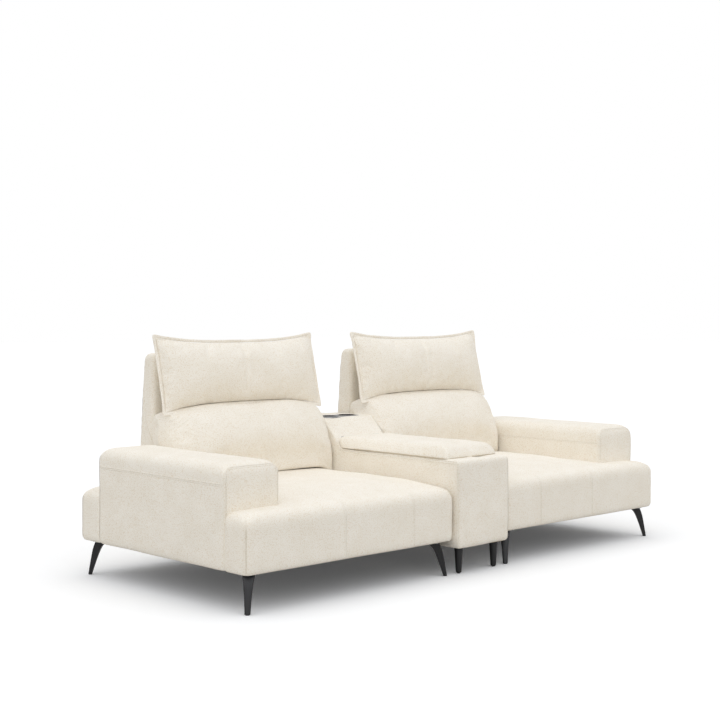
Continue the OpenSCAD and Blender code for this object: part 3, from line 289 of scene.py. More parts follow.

# %% [markdown]
# Under the cloth and the seats there are plain trade materials. Black parts are steel with a satin
# powder coat, which shows a faint orange-peel. The springs, hinges and screws are zinc plated:
# bright, with cloudy spangle. The cup plate is brushed stainless steel, drawn along X, and its
# wells are deep-drawn and satin; their steel is drawn much darker than the plate's, as painted
# shade inside the deep wells.

# %% Metals
def metal(name, tones, roughness, cloud_mm, stretch=(1.0, 1.0, 1.0), metallic=1.0):
    """Bare, plated or coated metal. Its clouds are cloud_mm long before they are stretched."""
    finish, tree, shader = new_finish(name)
    noise = add_node(tree, "ShaderNodeTexNoise", None,
                     {"Vector": in_millimetres(tree, stretch), "Scale": 1 / cloud_mm,
                      "Detail": 4.0})
    cloud = noise.outputs["Fac"]
    rough = add_node(tree, "ShaderNodeMapRange", None,
                     {"Value": cloud, "To Min": roughness * 0.8, "To Max": roughness * 1.25})
    surfaced(tree, shader, two_toned(tree, cloud, 0.3, 0.7, tones), cloud, 0.35, 0.02)
    tree.links.new(rough.outputs["Result"], shader.inputs["Roughness"])
    shader.inputs["Metallic"].default_value = metallic
    return finish


black_coat = metal("black satin powder coat", ("#131316", "#1D1D20"), 0.36, 1.6, metallic=0.0)
zinc = metal("bright zinc plating", ("#8F9094", "#B9BABC"), 0.34, 7.0)
brushed = metal("brushed stainless plate", ("#A6A7AA", "#CACACC"), 0.36, 9.0,
                (0.12, 4.0, 4.0))
# The wells' darker tones are painted shade inside them.
well_finish_with_painted_shade = metal("satin drawn steel darkened as painted shade", ("#65666A", "#8E8F92"), 0.24, 5.0, (1.0, 1.0, 3.0))
print("metals", [m.name for m in (black_coat, zinc, brushed, well_finish_with_painted_shade)])

# %% [markdown]
# The frame timber is beech and birch plywood, sawn and left raw. Its grain is long streaks a few
# millimetres apart with fine fleck. A picture of wood would repeat, so the streaks come from a
# noise that is drawn out 14 times along the board.

# %% Raw timber
def raw_timber(name, tones, grain_mm, along):
    """Sawn wood with its grain along one axis, 0 to 2."""
    finish, tree, shader = new_finish(name)
    stretch = [1.0, 1.0, 1.0]
    stretch[along] /= 14.0
    streak = add_node(tree, "ShaderNodeTexNoise", None,
                      {"Vector": in_millimetres(tree, stretch), "Scale": 1 / grain_mm,
                       "Detail": 6.0, "Roughness": 0.62, "Distortion": 0.4})
    grain = streak.outputs["Fac"]
    surfaced(tree, shader, two_toned(tree, grain, 0.32, 0.5, tones), grain, 0.3, 0.3)
    shader.inputs["Roughness"].default_value = 0.7
    return finish


beech = raw_timber("raw beech", ("#B98F5E", "#D9B98C"), 4.0, 0)
plywood = raw_timber("raw birch plywood", ("#BD9A68", "#DCC39B"), 5.0, 1)
print("timbers", beech.name, "and", plywood.name)

# %% [markdown]
# Foam, webbing, the black dust cover and moulded plastic are soft or grained rather than
# shiny. One function makes them: a pore or grain of its own size, in two tones, with bump.

# %% Foam, black cloth and plastic
def grained(name, tones, grain_mm, roughness, depth_mm):
    """A matt material with a fine pore or grain."""
    finish, tree, shader = new_finish(name)
    cells = add_node(tree, "ShaderNodeTexVoronoi", None,
                     {"Vector": in_millimetres(tree), "Scale": 1 / grain_mm})
    grain = cells.outputs["Distance"]
    surfaced(tree, shader, two_toned(tree, grain, 0.1, 0.6, tones), grain, 0.4, depth_mm)
    shader.inputs["Roughness"].default_value = roughness
    return finish


open_foam = grained("open-cell foam", ("#DCCB92", "#F0E4B4"), 2.5, 1.0, 0.5)
black_web = grained("black polypropylene cloth", ("#17171A", "#28282B"), 1.8, 0.9, 0.3)
black_nylon = grained("black moulded nylon", ("#141416", "#1E1E20"), 1.2, 0.5, 0.08)
print("three matt finishes")

# %% [markdown]
# Each CAD node keeps its solid and takes the finish its record slot names. Plywood and beech
# share the timber slot, and only the arm boxes, the console and the boards are plywood.

# %% Finish the CAD nodes
slot_finish = {"ivory_fabric": ivory, "foam": open_foam, "timber": beech,
               "black_cloth": black_web, "spring_steel": zinc, "black_metal": black_coat,
               "black_plastic": black_nylon, "plate_metal": brushed, "well_steel": well_finish_with_painted_shade}
slot_of = {s["node"]: s["material_slot"] for s in frame["record"]["subparts"]}
for node_name, node_object in frame["nodes"].items():
    finish = slot_finish[slot_of[node_name]]
    if finish is beech and ("arm_frame" in node_name or "board" in node_name
                            or "console" in node_name):
        finish = plywood
    node_object.data.materials.clear()
    node_object.data.materials.append(finish)
print("finished", len(frame["nodes"]), "nodes")

# %% [markdown]
# The covers start as plain closed forms: outlines stacked one on the next, like the layers of
# foam that a template is cut from. A rounded rectangle is the outline for everything here that
# has four sides.

# %% Outlines and stacks
def rounded_outline(x0, x1, y0, y1, r, z, bulge=0.0, corner=6, side=10):
    """Points round a rounded rectangle, anticlockwise. A bulge swells the sides outward."""
    cx, cy, hx, hy = (x0 + x1) / 2, (y0 + y1) / 2, (x1 - x0) / 2, (y1 - y0) / 2
    r = min(r, hx * 0.98, hy * 0.98)
    points = []
    for q in range(4):
        turn = q * 90.0
        half, out = (hx, hy) if q % 2 == 0 else (hy, hx)
        local = [((half - r) * (2 * k / side - 1), -out - bulge * (1 - (2 * k / side - 1) ** 2))
                 for k in range(side)]
        for k in range(corner):
            a = math.radians(-90 + 90.0 * k / corner)
            local.append((half - r + r * math.cos(a), -out + r + r * math.sin(a)))
        c, s = math.cos(math.radians(turn)), math.sin(math.radians(turn))
        points += [(cx + x * c - y * s, cy + x * s + y * c, z) for x, y in local]
    return np.array(points)


def tube_faces(n, m):
    """Faces of a tube of m rings with n points each."""
    return [(i * n + j, i * n + (j + 1) % n, (i + 1) * n + (j + 1) % n, (i + 1) * n + j)
            for i in range(m - 1) for j in range(n)]


def stacked(outlines):
    """A closed form from outlines with the same number of points: points and faces."""
    n, m = len(outlines[0]), len(outlines)
    faces = tube_faces(n, m)
    faces += [tuple(range(n))[::-1], tuple((m - 1) * n + j for j in range(n))]
    return np.concatenate(outlines), faces


print("outline of", len(rounded_outline(0, 1, 0, 1, 0.1, 0)), "points")

# %% [markdown]
# Modifiers work on objects, so a form lives in the scene for a moment, is read back as plain
# arrays and goes again.

# %% Forms that come and go
def temporary(points_m, faces):
    mesh = bpy.data.meshes.new("form")
    mesh.from_pydata([tuple(p) for p in points_m], [], [tuple(f) for f in faces])
    net = bmesh.new()
    net.from_mesh(mesh)
    bmesh.ops.recalc_face_normals(net, faces=net.faces[:])
    net.to_mesh(mesh)
    net.free()
    form = bpy.data.objects.new("form", mesh)
    bpy.context.scene.collection.objects.link(form)
    return form


def discard(form):
    mesh = form.data
    bpy.data.objects.remove(form)
    bpy.data.meshes.remove(mesh)


def taken(form):
    """The form's mesh with its modifiers applied, as arrays. The form itself goes."""
    graph = bpy.context.evaluated_depsgraph_get()
    made = form.evaluated_get(graph).to_mesh()
    points = np.empty(len(made.vertices) * 3)
    made.vertices.foreach_get("co", points)
    corners = np.empty(len(made.loops), int)
    made.loops.foreach_get("vertex_index", corners)
    starts = np.empty(len(made.polygons), int)
    made.polygons.foreach_get("loop_start", starts)
    faces = [tuple(f) for f in np.split(corners, starts[1:])]
    form.evaluated_get(graph).to_mesh_clear()
    discard(form)
    return points.reshape(-1, 3), faces


print("forms can be read back as arrays")

# %% [markdown]
# A stack has long thin faces, and cloth needs even ones. A voxel remesh gives every cover a net
# of even squares and softens its edges, as wadding does. Cuts, such as the notch for the arm,
# are made before it, so that their edges come out soft as well.

# %% An even net over a form
def netted(points, faces, square_mm, cuts=(), soften=4):
    """Points in millimetres, remeshed in even squares. Cuts are (points, faces) to take away."""
    form = temporary(placed(points), faces)
    tools = [temporary(placed(cut_points), cut_faces) for cut_points, cut_faces in cuts]
    for tool in tools:
        cutting = form.modifiers.new("cut", "BOOLEAN")
        cutting.operation, cutting.solver, cutting.object = "DIFFERENCE", "EXACT", tool
    net = form.modifiers.new("net", "REMESH")
    net.mode, net.voxel_size = "VOXEL", square_mm / MM
    smooth = form.modifiers.new("soften", "SMOOTH")
    smooth.factor, smooth.iterations = 0.5, soften
    out = taken(form)
    for tool in tools:
        discard(tool)
    return out


def normals_of(points, faces):
    """Outward direction at each point."""
    out = np.zeros_like(points)
    quads = np.array([f if len(f) == 4 else (*f, f[-1]) for f in faces if len(f) <= 4])
    across = np.cross(points[quads[:, 2]] - points[quads[:, 0]],
                      points[quads[:, 3]] - points[quads[:, 1]])
    for k in range(4):
        np.add.at(out, quads[:, k], across)
    return out / np.maximum(np.linalg.norm(out, axis=1, keepdims=True), 1e-12)


print("netting ready")

# %% [markdown]
# No cover is perfectly even. Handling leaves shallow, broad hollows and crests, one or two
# millimetres deep, which catch the light, and finer ones between them. A few waves in fixed
# directions, from a seeded generator, give them the same in every run.

# %% Slackness of the cloth
def slack(points_m, length_mm, depth_mm, seed, count=9):
    """Height of the cloth's unevenness at each point, in metres."""
    chance = np.random.default_rng(seed)
    total = np.zeros(len(points_m))
    for _ in range(count):
        way = chance.normal(size=3)
        way /= np.linalg.norm(way)
        pace = 2 * math.pi / (length_mm / MM * chance.uniform(0.6, 1.7))
        total += np.sin(points_m @ way * pace + chance.uniform(0, 2 * math.pi))
    return total * depth_mm / MM / math.sqrt(count)


def lying(points, broad, fine, seed, side):
    """Broad and fine slack, each (length, depth) in mm. Left and right covers lie differently."""
    left = int(side < 0)
    return slack(points, *broad, seed + left) + slack(points, *fine, seed + 2 + left)


def eased(value, low, high):
    """0 below low, 1 above high, smooth between."""
    t = np.clip((value - low) / (high - low), 0.0, 1.0)
    return t * t * (3 - 2 * t)


print("slack ready")

# %% [markdown]
# Padded pieces are swelled by a cloth simulation: the net is blown up from inside, like a cover
# when it is stuffed, and no point may move further than a cap. Where a piece is held by a seam or
# lies against something, a share from 0 to 1 says how much of the swelling it keeps.

# %% Stuffing a cover
STUFFING_FRAMES, STUFFING_PRESSURE = 20, 4.0


def stuffed(points, faces, cap_mm, growth, keep=None, held=None):
    """Swells a net in metres. Held points are pinned, and growth is the cloth's spare length."""
    form = temporary(points, faces)
    cloth = form.modifiers.new("stuffing", "CLOTH")
    cloth.settings.use_pressure = True
    cloth.settings.uniform_pressure_force = STUFFING_PRESSURE
    cloth.settings.effector_weights.gravity = 0.0
    cloth.settings.shrink_min = -growth
    cloth.settings.quality = 6
    cloth.collision_settings.use_collision = False
    cloth.collision_settings.use_self_collision = False
    if held is not None:
        group = form.vertex_groups.new(name="held")
        group.add([int(index) for index in np.nonzero(held)[0]], 1.0, "REPLACE")
        cloth.settings.vertex_group_mass = "held"
    cloth.point_cache.frame_start, cloth.point_cache.frame_end = 1, STUFFING_FRAMES
    for number in range(1, STUFFING_FRAMES + 1):
        bpy.context.scene.frame_set(number)
    moved, _ = taken(form)
    bpy.context.scene.frame_set(1)
    step = moved - points
    far = np.linalg.norm(step, axis=1, keepdims=True)
    step *= np.minimum(1.0, cap_mm / MM / np.maximum(far, 1e-9))
    if keep is not None:
        step *= keep[:, None]
    return points + step



# %% [markdown]
# A finished cover becomes a piece of the scene: it rides on its CAD body and stands for the CAD
# solid it hides. The left unit's pieces are the right one's with x turned over.

# %% From net to piece
def piece(name, points, faces, body, finish, side=1.0, stands_for=(),
          rounds=0):
    out = points.copy()
    out[:, 0] *= side
    mesh = bpy.data.meshes.new(name)
    mesh.from_pydata([tuple(p) for p in out], [],
                     [f[::-1] for f in faces] if side < 0 else faces)
    mesh.validate()
    mesh.shade_smooth()
    mesh.materials.append(finish)
    made = bpy.data.objects.new(name, mesh)
    bpy.context.scene.collection.objects.link(made)
    if rounds:
        finer = made.modifiers.new("finer net", "SUBSURF")
        finer.levels = finer.render_levels = rounds
    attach(made, body)
    if stands_for:
        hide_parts(*stands_for)
    return made


print("pieces ready")

# %% [markdown]
# Seams are sewn after the stuffing, because a net of 8 mm squares can't hold a 2 mm groove. Each
# one is a narrow ribbon of the same cloth laid on the surface: two low crests with the seam's
# groove between them. The ribbon finds the surface by itself, so it follows every hollow.

# %% Sewing a seam
SEAM_HALF = [(0.9, -0.6), (2.3, 1.1), (4.2, 1.2), (6.0, 0.35), (8.0, -1.4)]
SEAM_SECTION = [(-s, h) for s, h in SEAM_HALF[::-1]] + SEAM_HALF
SEAM_PACE = 6.0


def even_path(path):
    """A path through the given points, in even paces."""
    path = np.array(path, float)
    reach = np.concatenate([[0], np.cumsum(np.linalg.norm(np.diff(path, axis=0), axis=1))])
    at = np.linspace(0, reach[-1], max(4, int(reach[-1] / SEAM_PACE)) + 1)
    return np.stack([np.interp(at, reach, path[:, k]) for k in range(3)], axis=1)


def laid(surface, path):
    """A path's places on the surface, in metres, and the way out there, both evened out."""
    found = [surface.find_nearest(Vector(p)) for p in placed(even_path(path))]
    centre, out = np.array([f[0] for f in found]), np.array([f[1] for f in found])
    for _ in range(3):
        centre[1:-1] = (centre[:-2] + 2 * centre[1:-1] + centre[2:]) / 4
        out[1:-1] = out[:-2] + 2 * out[1:-1] + out[2:]
        out /= np.linalg.norm(out, axis=1, keepdims=True)
    return centre, out


def sewn(surface, paths, section=SEAM_SECTION):
    """Ribbons along paths in millimetres, laid on a surface in metres: points, faces, UVs."""
    points, faces, uvs = [], [], []
    for path in paths:
        centre, out = laid(surface, path)
        cross = np.cross(np.gradient(centre, axis=0), out)
        cross /= np.maximum(np.linalg.norm(cross, axis=1, keepdims=True), 1e-9)
        run = np.concatenate([[0], np.cumsum(np.linalg.norm(np.diff(centre, axis=0), axis=1))])
        start, n = len(points), len(section)
        for k in range(len(centre)):
            for s, h in section:
                points.append(centre[k] + cross[k] * s / MM + out[k] * h / MM)
                uvs.append((run[k] * MM, s))
        faces += [(start + k * n + j, start + k * n + j + 1, start + (k + 1) * n + j + 1,
                   start + (k + 1) * n + j) for k in range(len(centre) - 1) for j in range(n - 1)]
    return np.array(points), faces, uvs


print("seam ribbon", 2 * SEAM_HALF[-1][0], "mm wide")

# %% [markdown]
# Most covers have sewn seams, so one function makes a cover and its seams together.

# %% A cover with its seams
def seam_piece(name, ribbon, side, parent):
    points, faces, uvs = ribbon
    made = piece(name, points, faces, parent["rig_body"], ivory_seam, side)
    layer = made.data.uv_layers.new(name="along the seam")
    for loop in made.data.loops:
        layer.data[loop.index].uv = uvs[loop.vertex_index]


def cover(name, hides, points, faces, body, side, seams, seams_name,
          section=SEAM_SECTION):
    """A padded ivory cover that hides one CAD solid, and its seams along paths in mm."""
    made = piece(name, points, faces, body, ivory, side, [hides],
                 rounds=1)
    surface = BVHTree.FromPolygons([tuple(p) for p in points], faces)
    seam_piece(seams_name, sewn(surface, seams, section), side, made)
    print(name, "with seams", len(seams))


print("covers ready")

# %% [markdown]
# ## The seat platforms
# The platform is a deep upholstered tray: straight sides, a soft rolled edge, and a crown that
# rises to the middle. In the photograph it dips beside the arm and wraps round the arm's front
# and rear as a low tongue. The outlines below repeat the CAD solid's own steps, only finer. The
# arm's notch is cut a little too small for the arm, so that the cloth is pressed there.

# %% Height of the seat
EDGE_TOP, EDGE_R = 334.0, 50.0
CROWN, CROWN_REACH = 30.0, 250.0
CONSOLE_DIP, ARM_DIP = (20.0, 110.0, 1.6), (275.0, 200.0, 1.1)


def dip_inset(dip, s):
    """How far from a side the crown's height is at share s: a start, a growth and its power."""
    start, growth, power = dip
    return start + growth * s ** power


def seat_steps():
    """Insets from the front, the console's side and the arm's side, and the height there."""
    steps = []
    for t in np.radians([0, 12, 24, 36, 48, 60, 72, 81, 90]):
        i = EDGE_R * (1 - math.cos(t))
        steps.append((i, i * 0.4, i, EDGE_TOP + EDGE_R * math.sin(t)))
    for s in np.linspace(0, 1, 15)[1:]:
        steps.append((EDGE_R + CROWN_REACH * s, dip_inset(CONSOLE_DIP, s),
                      dip_inset(ARM_DIP, s),
                      EDGE_TOP + EDGE_R + CROWN * math.sin(math.pi / 2 * s)))
    return steps


print("seat crown at", EDGE_TOP + EDGE_R + CROWN, "mm")

# %% [markdown]
# Below the rolled edge the tray is straight, and its foot draws in a little over the dust cover.

# %% Platform form
ARM_X, ARM_Y0, ARM_Y1, ARM_TOP = 1043.0, 136.0, 1013.0, 567.0
SEAT_CORNER, FOOT_INSET, PRESSED = 24.0, 9.0, 4.0
SEAT_FOOT = ((0, 1), (0.015, 0.6), (0.04, 0.2), (0.08, 0), (0.55, 0))

seat_outlines = [rounded_outline(IN_X + FOOT_INSET * w, OUT_X - FOOT_INSET * w, FOOT_INSET * w,
                                 SEAT_D - FOOT_INSET * w, SEAT_CORNER,
                                 LEG_H + (EDGE_TOP - LEG_H) * h) for h, w in SEAT_FOOT]
seat_outlines += [rounded_outline(IN_X + b, OUT_X - c, a, SEAT_D - a, SEAT_CORNER + 2 + 0.9 * a, z)
                  for a, b, c, z in seat_steps()]
notch = stacked([rounded_outline(ARM_X + PRESSED, OUT_X + 60, ARM_Y0 + PRESSED,
                                 ARM_Y1 - PRESSED, 14, z) for z in (LEG_H - 30, ARM_TOP + 53)])
seat_points, seat_faces = netted(*stacked(seat_outlines), 10.0, [notch], soften=3)
print("seat net", len(seat_points), "points")

# %% [markdown]
# The platform's foam is firm and its cover tight, so it is not blown up: the cloth only gets its
# shallow hollows. Its lower edge is stapled under the tray, and the dust cover hides the staples.

# %% Dress the platforms
HEM_LOW, HEM_DROP, HEM_REACH, HEM_TUCK = 2.2, 4.0, 26.0, 18.0


def hemmed(points):
    """Brings the lower edge down to the dust cover and tucks the cloth up inside it."""
    x, y, z = np.abs(points[:, 0]) * MM, points[:, 1] * MM - FRONT, points[:, 2] * MM
    edge = np.minimum(np.minimum(x - IN_X, OUT_X - x), np.minimum(y, SEAT_D - y))
    z = z - HEM_DROP * (1 - eased(z, LEG_H + 2, LEG_H + HEM_REACH))
    z = np.maximum(z, LEG_H - HEM_LOW)
    inside = (edge > HEM_TUCK) & (z < LEG_H + 6)
    points[:, 2] = np.where(inside, LEG_H + HEM_DROP, z) / MM


seat_out = normals_of(seat_points, seat_faces)
seat_share = 0.5 + 0.9 * eased(seat_points[:, 2], 0.36, 0.41)
panel_seams = [[(x, -4, z) for z in (162, 240, 330, 360)] + [(x, 12, 384), (x, 34, 398)]
               for x in (420, 810)]
corner_seams = [[(OUT_X - 5, y, z) for z in (162, 240, 330, 350)] + [(OUT_X - 16, top_y, 376)]
                for y, top_y in ((5, 16), (SEAT_D - 5, SEAT_D - 16))]
for side_name, side in SIDES.items():
    lie = lying(seat_points, (260, 1.6), (90, 0.3), 11, side) * seat_share
    points = seat_points + seat_out * lie[:, None]
    hemmed(points)
    cover(f"{side_name}_seat_upholstery", f"{side_name}_seat_cover", points, seat_faces, "base",
          side, panel_seams + corner_seams, f"{side_name}_seat_seams")

# %% [markdown]
# ## The arms
# Each arm is a padded box that comes down to the platform's underside. Its cap is sewn to the
# side panels a hand's width below the top, and the front panel is set in, with its seam following
# the rounded top. The faces are tight and only a little fuller in the middle.

# %% Arm form
ARM_R, ARM_CROWN, ARM_CROWN_REACH, ARM_FULL = 40.0, 11.0, 90.0, 3.0
ARM_WALL = ARM_TOP - ARM_CROWN - ARM_R
ARM_FOOT = ((0, 1), (0.01, 0.6), (0.03, 0.2), (0.06, 0), (0.2, 0), (0.4, 0), (0.6, 0), (0.8, 0))


def arm_outline(i, z, full=0.0):
    return rounded_outline(ARM_X - 3 + i, OUT_X + 1 - i, ARM_Y0 - 4 + i, ARM_Y1 + 4 - i,
                           18 + 0.25 * i, z, full)


def arm_crown(i):
    return ARM_CROWN * math.sin(math.pi / 2 * min(1, i / ARM_CROWN_REACH))


arm_outlines = [arm_outline(8 * w, LEG_H + (ARM_WALL - LEG_H) * h,
                            ARM_FULL * math.sin(math.pi * h)) for h, w in ARM_FOOT]
for t in np.radians([0, 15, 30, 45, 60, 75, 90]):
    i = ARM_R * (1 - math.cos(t))
    arm_outlines.append(arm_outline(i, ARM_WALL + ARM_R * math.sin(t) + arm_crown(i)))
arm_outlines += [arm_outline(i, ARM_WALL + ARM_R + arm_crown(i)) for i in (54, 68, 82, 96, 118)]
arm_points, arm_faces = netted(*stacked(arm_outlines), 9.0, soften=3)
print("arm net", len(arm_points), "points")

# %% [markdown]
# The cap's seams run straight along both faces. The seam of a set-in panel runs up one edge,
# over the rounded top and down the other edge as far as the seat.

# %% Dress the arms
CAP_SEAM, PANEL_GAP = ARM_TOP - 84.0, 9.0


def arm_panel_seam(y):
    """Round the front or rear panel of an arm, just inside its edge."""
    x0, x1, r, top = ARM_X + PANEL_GAP, OUT_X - PANEL_GAP, ARM_R - 4, ARM_TOP - PANEL_GAP
    path = [(x1, y, z) for z in (166, 260, 360, 460, top - r)]
    path += [(x1 - r + r * math.cos(a), y, top - r + r * math.sin(a))
             for a in np.radians([20, 40, 60, 80, 90])]
    path += [(x0 + r + r * math.cos(a), y, top - r + r * math.sin(a))
             for a in np.radians([90, 110, 130, 150, 170])]
    return path + [(x0, y, z) for z in (top - r, 460, 400)]


arm_out = normals_of(arm_points, arm_faces)
arm_seams = [[(x, y, CAP_SEAM) for y in (ARM_Y0 + 9, 400, 700, ARM_Y1 - 9)]
             for x in (OUT_X + 2, ARM_X - 2)]
arm_seams += [arm_panel_seam(ARM_Y0 - 4), arm_panel_seam(ARM_Y1 + 4)]
for side_name, side in SIDES.items():
    lie = lying(arm_points, (300, 1.3), (80, 0.25), 21, side)
    points = arm_points + arm_out * lie[:, None]
    hemmed(points)
    cover(f"{side_name}_arm_upholstery", f"{side_name}_arm_cover", points, arm_faces, "base",
          side, arm_seams, f"{side_name}_arm_seams")

# %% [markdown]
# ## The back slabs
# A thin padded slab stands on the platform's rear edge. It is upright in front, and its rear
# leans in towards a rounded top. The slab is drawn as sections along X, each a side outline that
# draws in where the slab's sides roll.

# %% Slab form
SLAB_Y, SLAB_X0, SLAB_W, SLAB_TOP = 1044.0, 177.0, 840.0, 961.0
SLAB_X1 = SLAB_X0 + SLAB_W
TOP_THICK, TOP_REAR_R, TOP_FRONT_R, SLAB_ROLL = 80.0, 36.0, 27.0, 22.0


def side_arc(cy, cz, r, a0, a1, steps=6):
    return [(cy + r * math.cos(a), cz + r * math.sin(a))
            for a in np.radians(np.linspace(a0, a1, steps + 1))]


def seat_height(inset, side=0):
    """Height of the seat at an inset from the front (0), the console (1) or the arm (2)."""
    steps = seat_steps()
    return np.interp(inset, [s[side] for s in steps], [s[3] for s in steps])


def slab_outline(e):
    """Side outline of the slab, drawn in by e, from its foot in front and round."""
    foot = [(y, seat_height(SEAT_D - y) + 1.0)
            for y in np.linspace(SLAB_Y + e, SEAT_D - e, 12)]
    return np.array(foot + [(SEAT_D - e, 550)]
                    + side_arc(SLAB_Y + TOP_THICK - TOP_REAR_R, SLAB_TOP - TOP_REAR_R,
                               TOP_REAR_R - e, 0, 90)
                    + side_arc(SLAB_Y + TOP_FRONT_R, SLAB_TOP - TOP_FRONT_R,
                               TOP_FRONT_R - e, 90, 180))


def rolled(r, angles):
    """A rolled end of radius r: how far along each section lies, and how far it draws in."""
    return [(r * (1 - math.cos(t)), r * (1 - math.sin(t))) for t in np.radians(angles)]


slab_ends = rolled(SLAB_ROLL, [0, 18, 36, 54, 72, 90])
slab_stack = [np.insert(slab_outline(e), 0, SLAB_X0 + x, axis=1) for x, e in slab_ends]
slab_stack += [np.insert(slab_outline(e), 0, SLAB_X1 - x, axis=1) for x, e in slab_ends[::-1]]
slab_points, slab_faces = netted(*stacked(slab_stack), 9.0, soften=3)
print("slab net", len(slab_points), "points")

# %% [markdown]
# In the photograph one seam bends over the slab's outer side. The panels at the rear meet in a
# seam up each edge and one along the top.

# %% Dress the slabs
slab_out = normals_of(slab_points, slab_faces)
outer = SLAB_X1 + 4
slab_seams = [[(outer, y, z) for y, z in ((1098, 700), (1098, 656), (1072, 611), (1046, 564))]]
slab_seams += [[(x, SEAT_D + 4, 440), (x, SEAT_D + 2, 600), (x, SLAB_Y + 90, 900)]
               for x in (SLAB_X0 + 10, outer - 14)]
slab_seams.append([(x, SLAB_Y + 84, 900) for x in (SLAB_X0 + 12, 500, 700, outer - 16)])
for side_name, side in SIDES.items():
    lie = lying(slab_points, (240, 1.4), (70, 0.25), 31, side)
    cover(f"{side_name}_back_upholstery", f"{side_name}_back_cover",
          slab_points + slab_out * lie[:, None], slab_faces, "base", side, slab_seams,
          f"{side_name}_back_seams")

# %% [markdown]
# ## The back cushions
# A loose cushion leans on the slab and stands on the seat. It is a crowned, stuffed bag: its
# front swells most low down in the middle, its ends pull in, and its top rolls over under the
# head pillow. It is drawn a little small and then stuffed with the cloth simulation.

# %% Cushion form
CUSHION_FOOT, CUSHION_SWELL, CUSHION_TOP, CUSHION_ROLL = 272.0, 50.0, 732.0, 20.0
SMALLER, CLEAR = 7.0, 2.0
CUSHION_FRONT = [(0, 1, 0.15), (0.1, 1.0, 0.38), (0.22, 0.995, 0.62), (0.34, 0.975, 0.82),
                 (0.45, 0.94, 0.95), (0.56, 0.895, 1.0), (0.66, 0.84, 1.0), (0.76, 0.78, 0.9),
                 (0.85, 0.705, 0.7), (0.92, 0.63, 0.45), (0.97, 0.54, 0.2), (1.0, 0.42, 0.05)]


def cushion_outline(x, e):
    """Side outline at x, drawn in by e. Its front is (share of height, of foot, of swell)."""
    s = abs(x - SLAB_X0 - SLAB_W / 2) / (SLAB_W / 2)
    swell = CUSHION_SWELL * (1 - s ** 2.5)
    sides = min(seat_height(OUT_X - x, 2), seat_height(x - IN_X, 1))
    foot = min(sides, seat_height(SEAT_D - SLAB_Y + CUSHION_FOOT)) + CLEAR
    rear = min(sides, seat_height(SEAT_D - SLAB_Y)) + CLEAR
    top = CUSHION_TOP - 24 * s ** 5 - e - SMALLER
    front = [(SLAB_Y - CUSHION_FOOT * b - swell * c + e + SMALLER, foot + (top - foot) * a)
             for a, b, c in CUSHION_FRONT]
    return np.array([(SLAB_Y - 1, rear), (SLAB_Y - 90, max(foot, rear)),
                     (SLAB_Y - 180, max(foot, rear))] + front
                    + [(SLAB_Y - 70, top - 1), (SLAB_Y - 30, top - 5), (SLAB_Y - 1, top - 16)])


cushion_ends = [(SLAB_X0 - 7 + x, e)
                for x, e in rolled(CUSHION_ROLL, [0, 15, 30, 45, 60, 75, 90])]
cushion_stack = cushion_ends + [(x, 0) for x in np.linspace(SLAB_X0 + 60, SLAB_X1 - 60, 20)]
cushion_stack += [(SLAB_X0 + SLAB_X1 - x, e) for x, e in cushion_ends[::-1]]
cushion_rings = [np.insert(cushion_outline(x, e), 0, x, axis=1) for x, e in cushion_stack]
cushion_points, cushion_faces = netted(*stacked(cushion_rings), 8.0)
print("cushion net", len(cushion_points), "points")

# %% [markdown]
# What lies on the slab and on the seat can't swell, so a share fades the swelling out there.

# %% Stuff the cushions
def off_slab(points):
    """1 on the cushion's free front, 0 where it lies on the slab or on the seat."""
    return (eased(-points[:, 1], -(SLAB_Y + FRONT - 6) / MM, -(SLAB_Y + FRONT - 50) / MM)
            * (0.25 + 0.75 * eased(points[:, 2], 0.42, 0.5)))


cushion_full = stuffed(cushion_points, cushion_faces, 22.0, 0.012,
                       keep=off_slab(cushion_points))
cushion_full[:, 1] = np.minimum(cushion_full[:, 1], (SLAB_Y + FRONT - 0.8) / MM)
swelled = np.linalg.norm(cushion_full - cushion_points, axis=1).max() * MM
print("cushion swelled by up to", round(float(swelled), 1), "mm")

# %% [markdown]
# The photograph shows short creases on the cushion below the head pillow's outer lower corner,
# where the pillow presses it, and smoother cloth in the middle. They fade within a hand's width
# and are a few millimetres deep. The other corner has fainter ones.

# %% Creases and dress of the cushions
CREASES = [((1002, 670), (46, 36), 15, 2.8, -0.55, 45), ((958, 628), (44, 26), 23, 1.7, 0.5, 46),
           ((222, 672), (36, 30), 17, 1.3, 0.4, 47)]


def creases(points, centre, reach_mm, pitch_mm, depth_mm, lean, seed):
    """Short folds round a place: waves across a leaning line, faded away from the place."""
    chance = np.random.default_rng(seed)
    x, z = points[:, 0] - centre[0] / MM, points[:, 2] - centre[1] / MM
    fade = np.exp(-((x / reach_mm[0]) ** 2 + (z / reach_mm[1]) ** 2) * MM ** 2)
    bend = (z - lean * x) * MM
    wave = np.sin(2 * math.pi * bend / pitch_mm + 1.2 * np.sin(x * MM / 40))
    wave += 0.6 * np.sin(2 * math.pi * bend / (pitch_mm * chance.uniform(0.55, 0.7)) + 2.0)
    return fade * wave * depth_mm / MM


cushion_out = normals_of(cushion_full, cushion_faces)
for side_name, side in SIDES.items():
    lie = lying(cushion_full, (200, 2.2), (60, 0.35), 41, side)
    lie += sum(creases(cushion_full, *crease) for crease in CREASES)
    points = cushion_full + cushion_out * (lie * off_slab(cushion_full))[:, None]
    cushion = piece(f"{side_name}_back_cushion_soft", points, cushion_faces, "base", ivory,
                    side, [f"{side_name}_back_cushion"], rounds=1)
    print(cushion.name, "creased")

# %% [markdown]
# ## The head pillows
# The head pillow is the sofa's most recognisable piece: a stuffed front with a flat sewn flange
# all round, its long edges drawn in between pointed corners. It is made the way it is sewn: two
# panels joined along the seam, stuffed with cloth simulation while the seam is held, and the
# flange added as its own welt outside the seam.

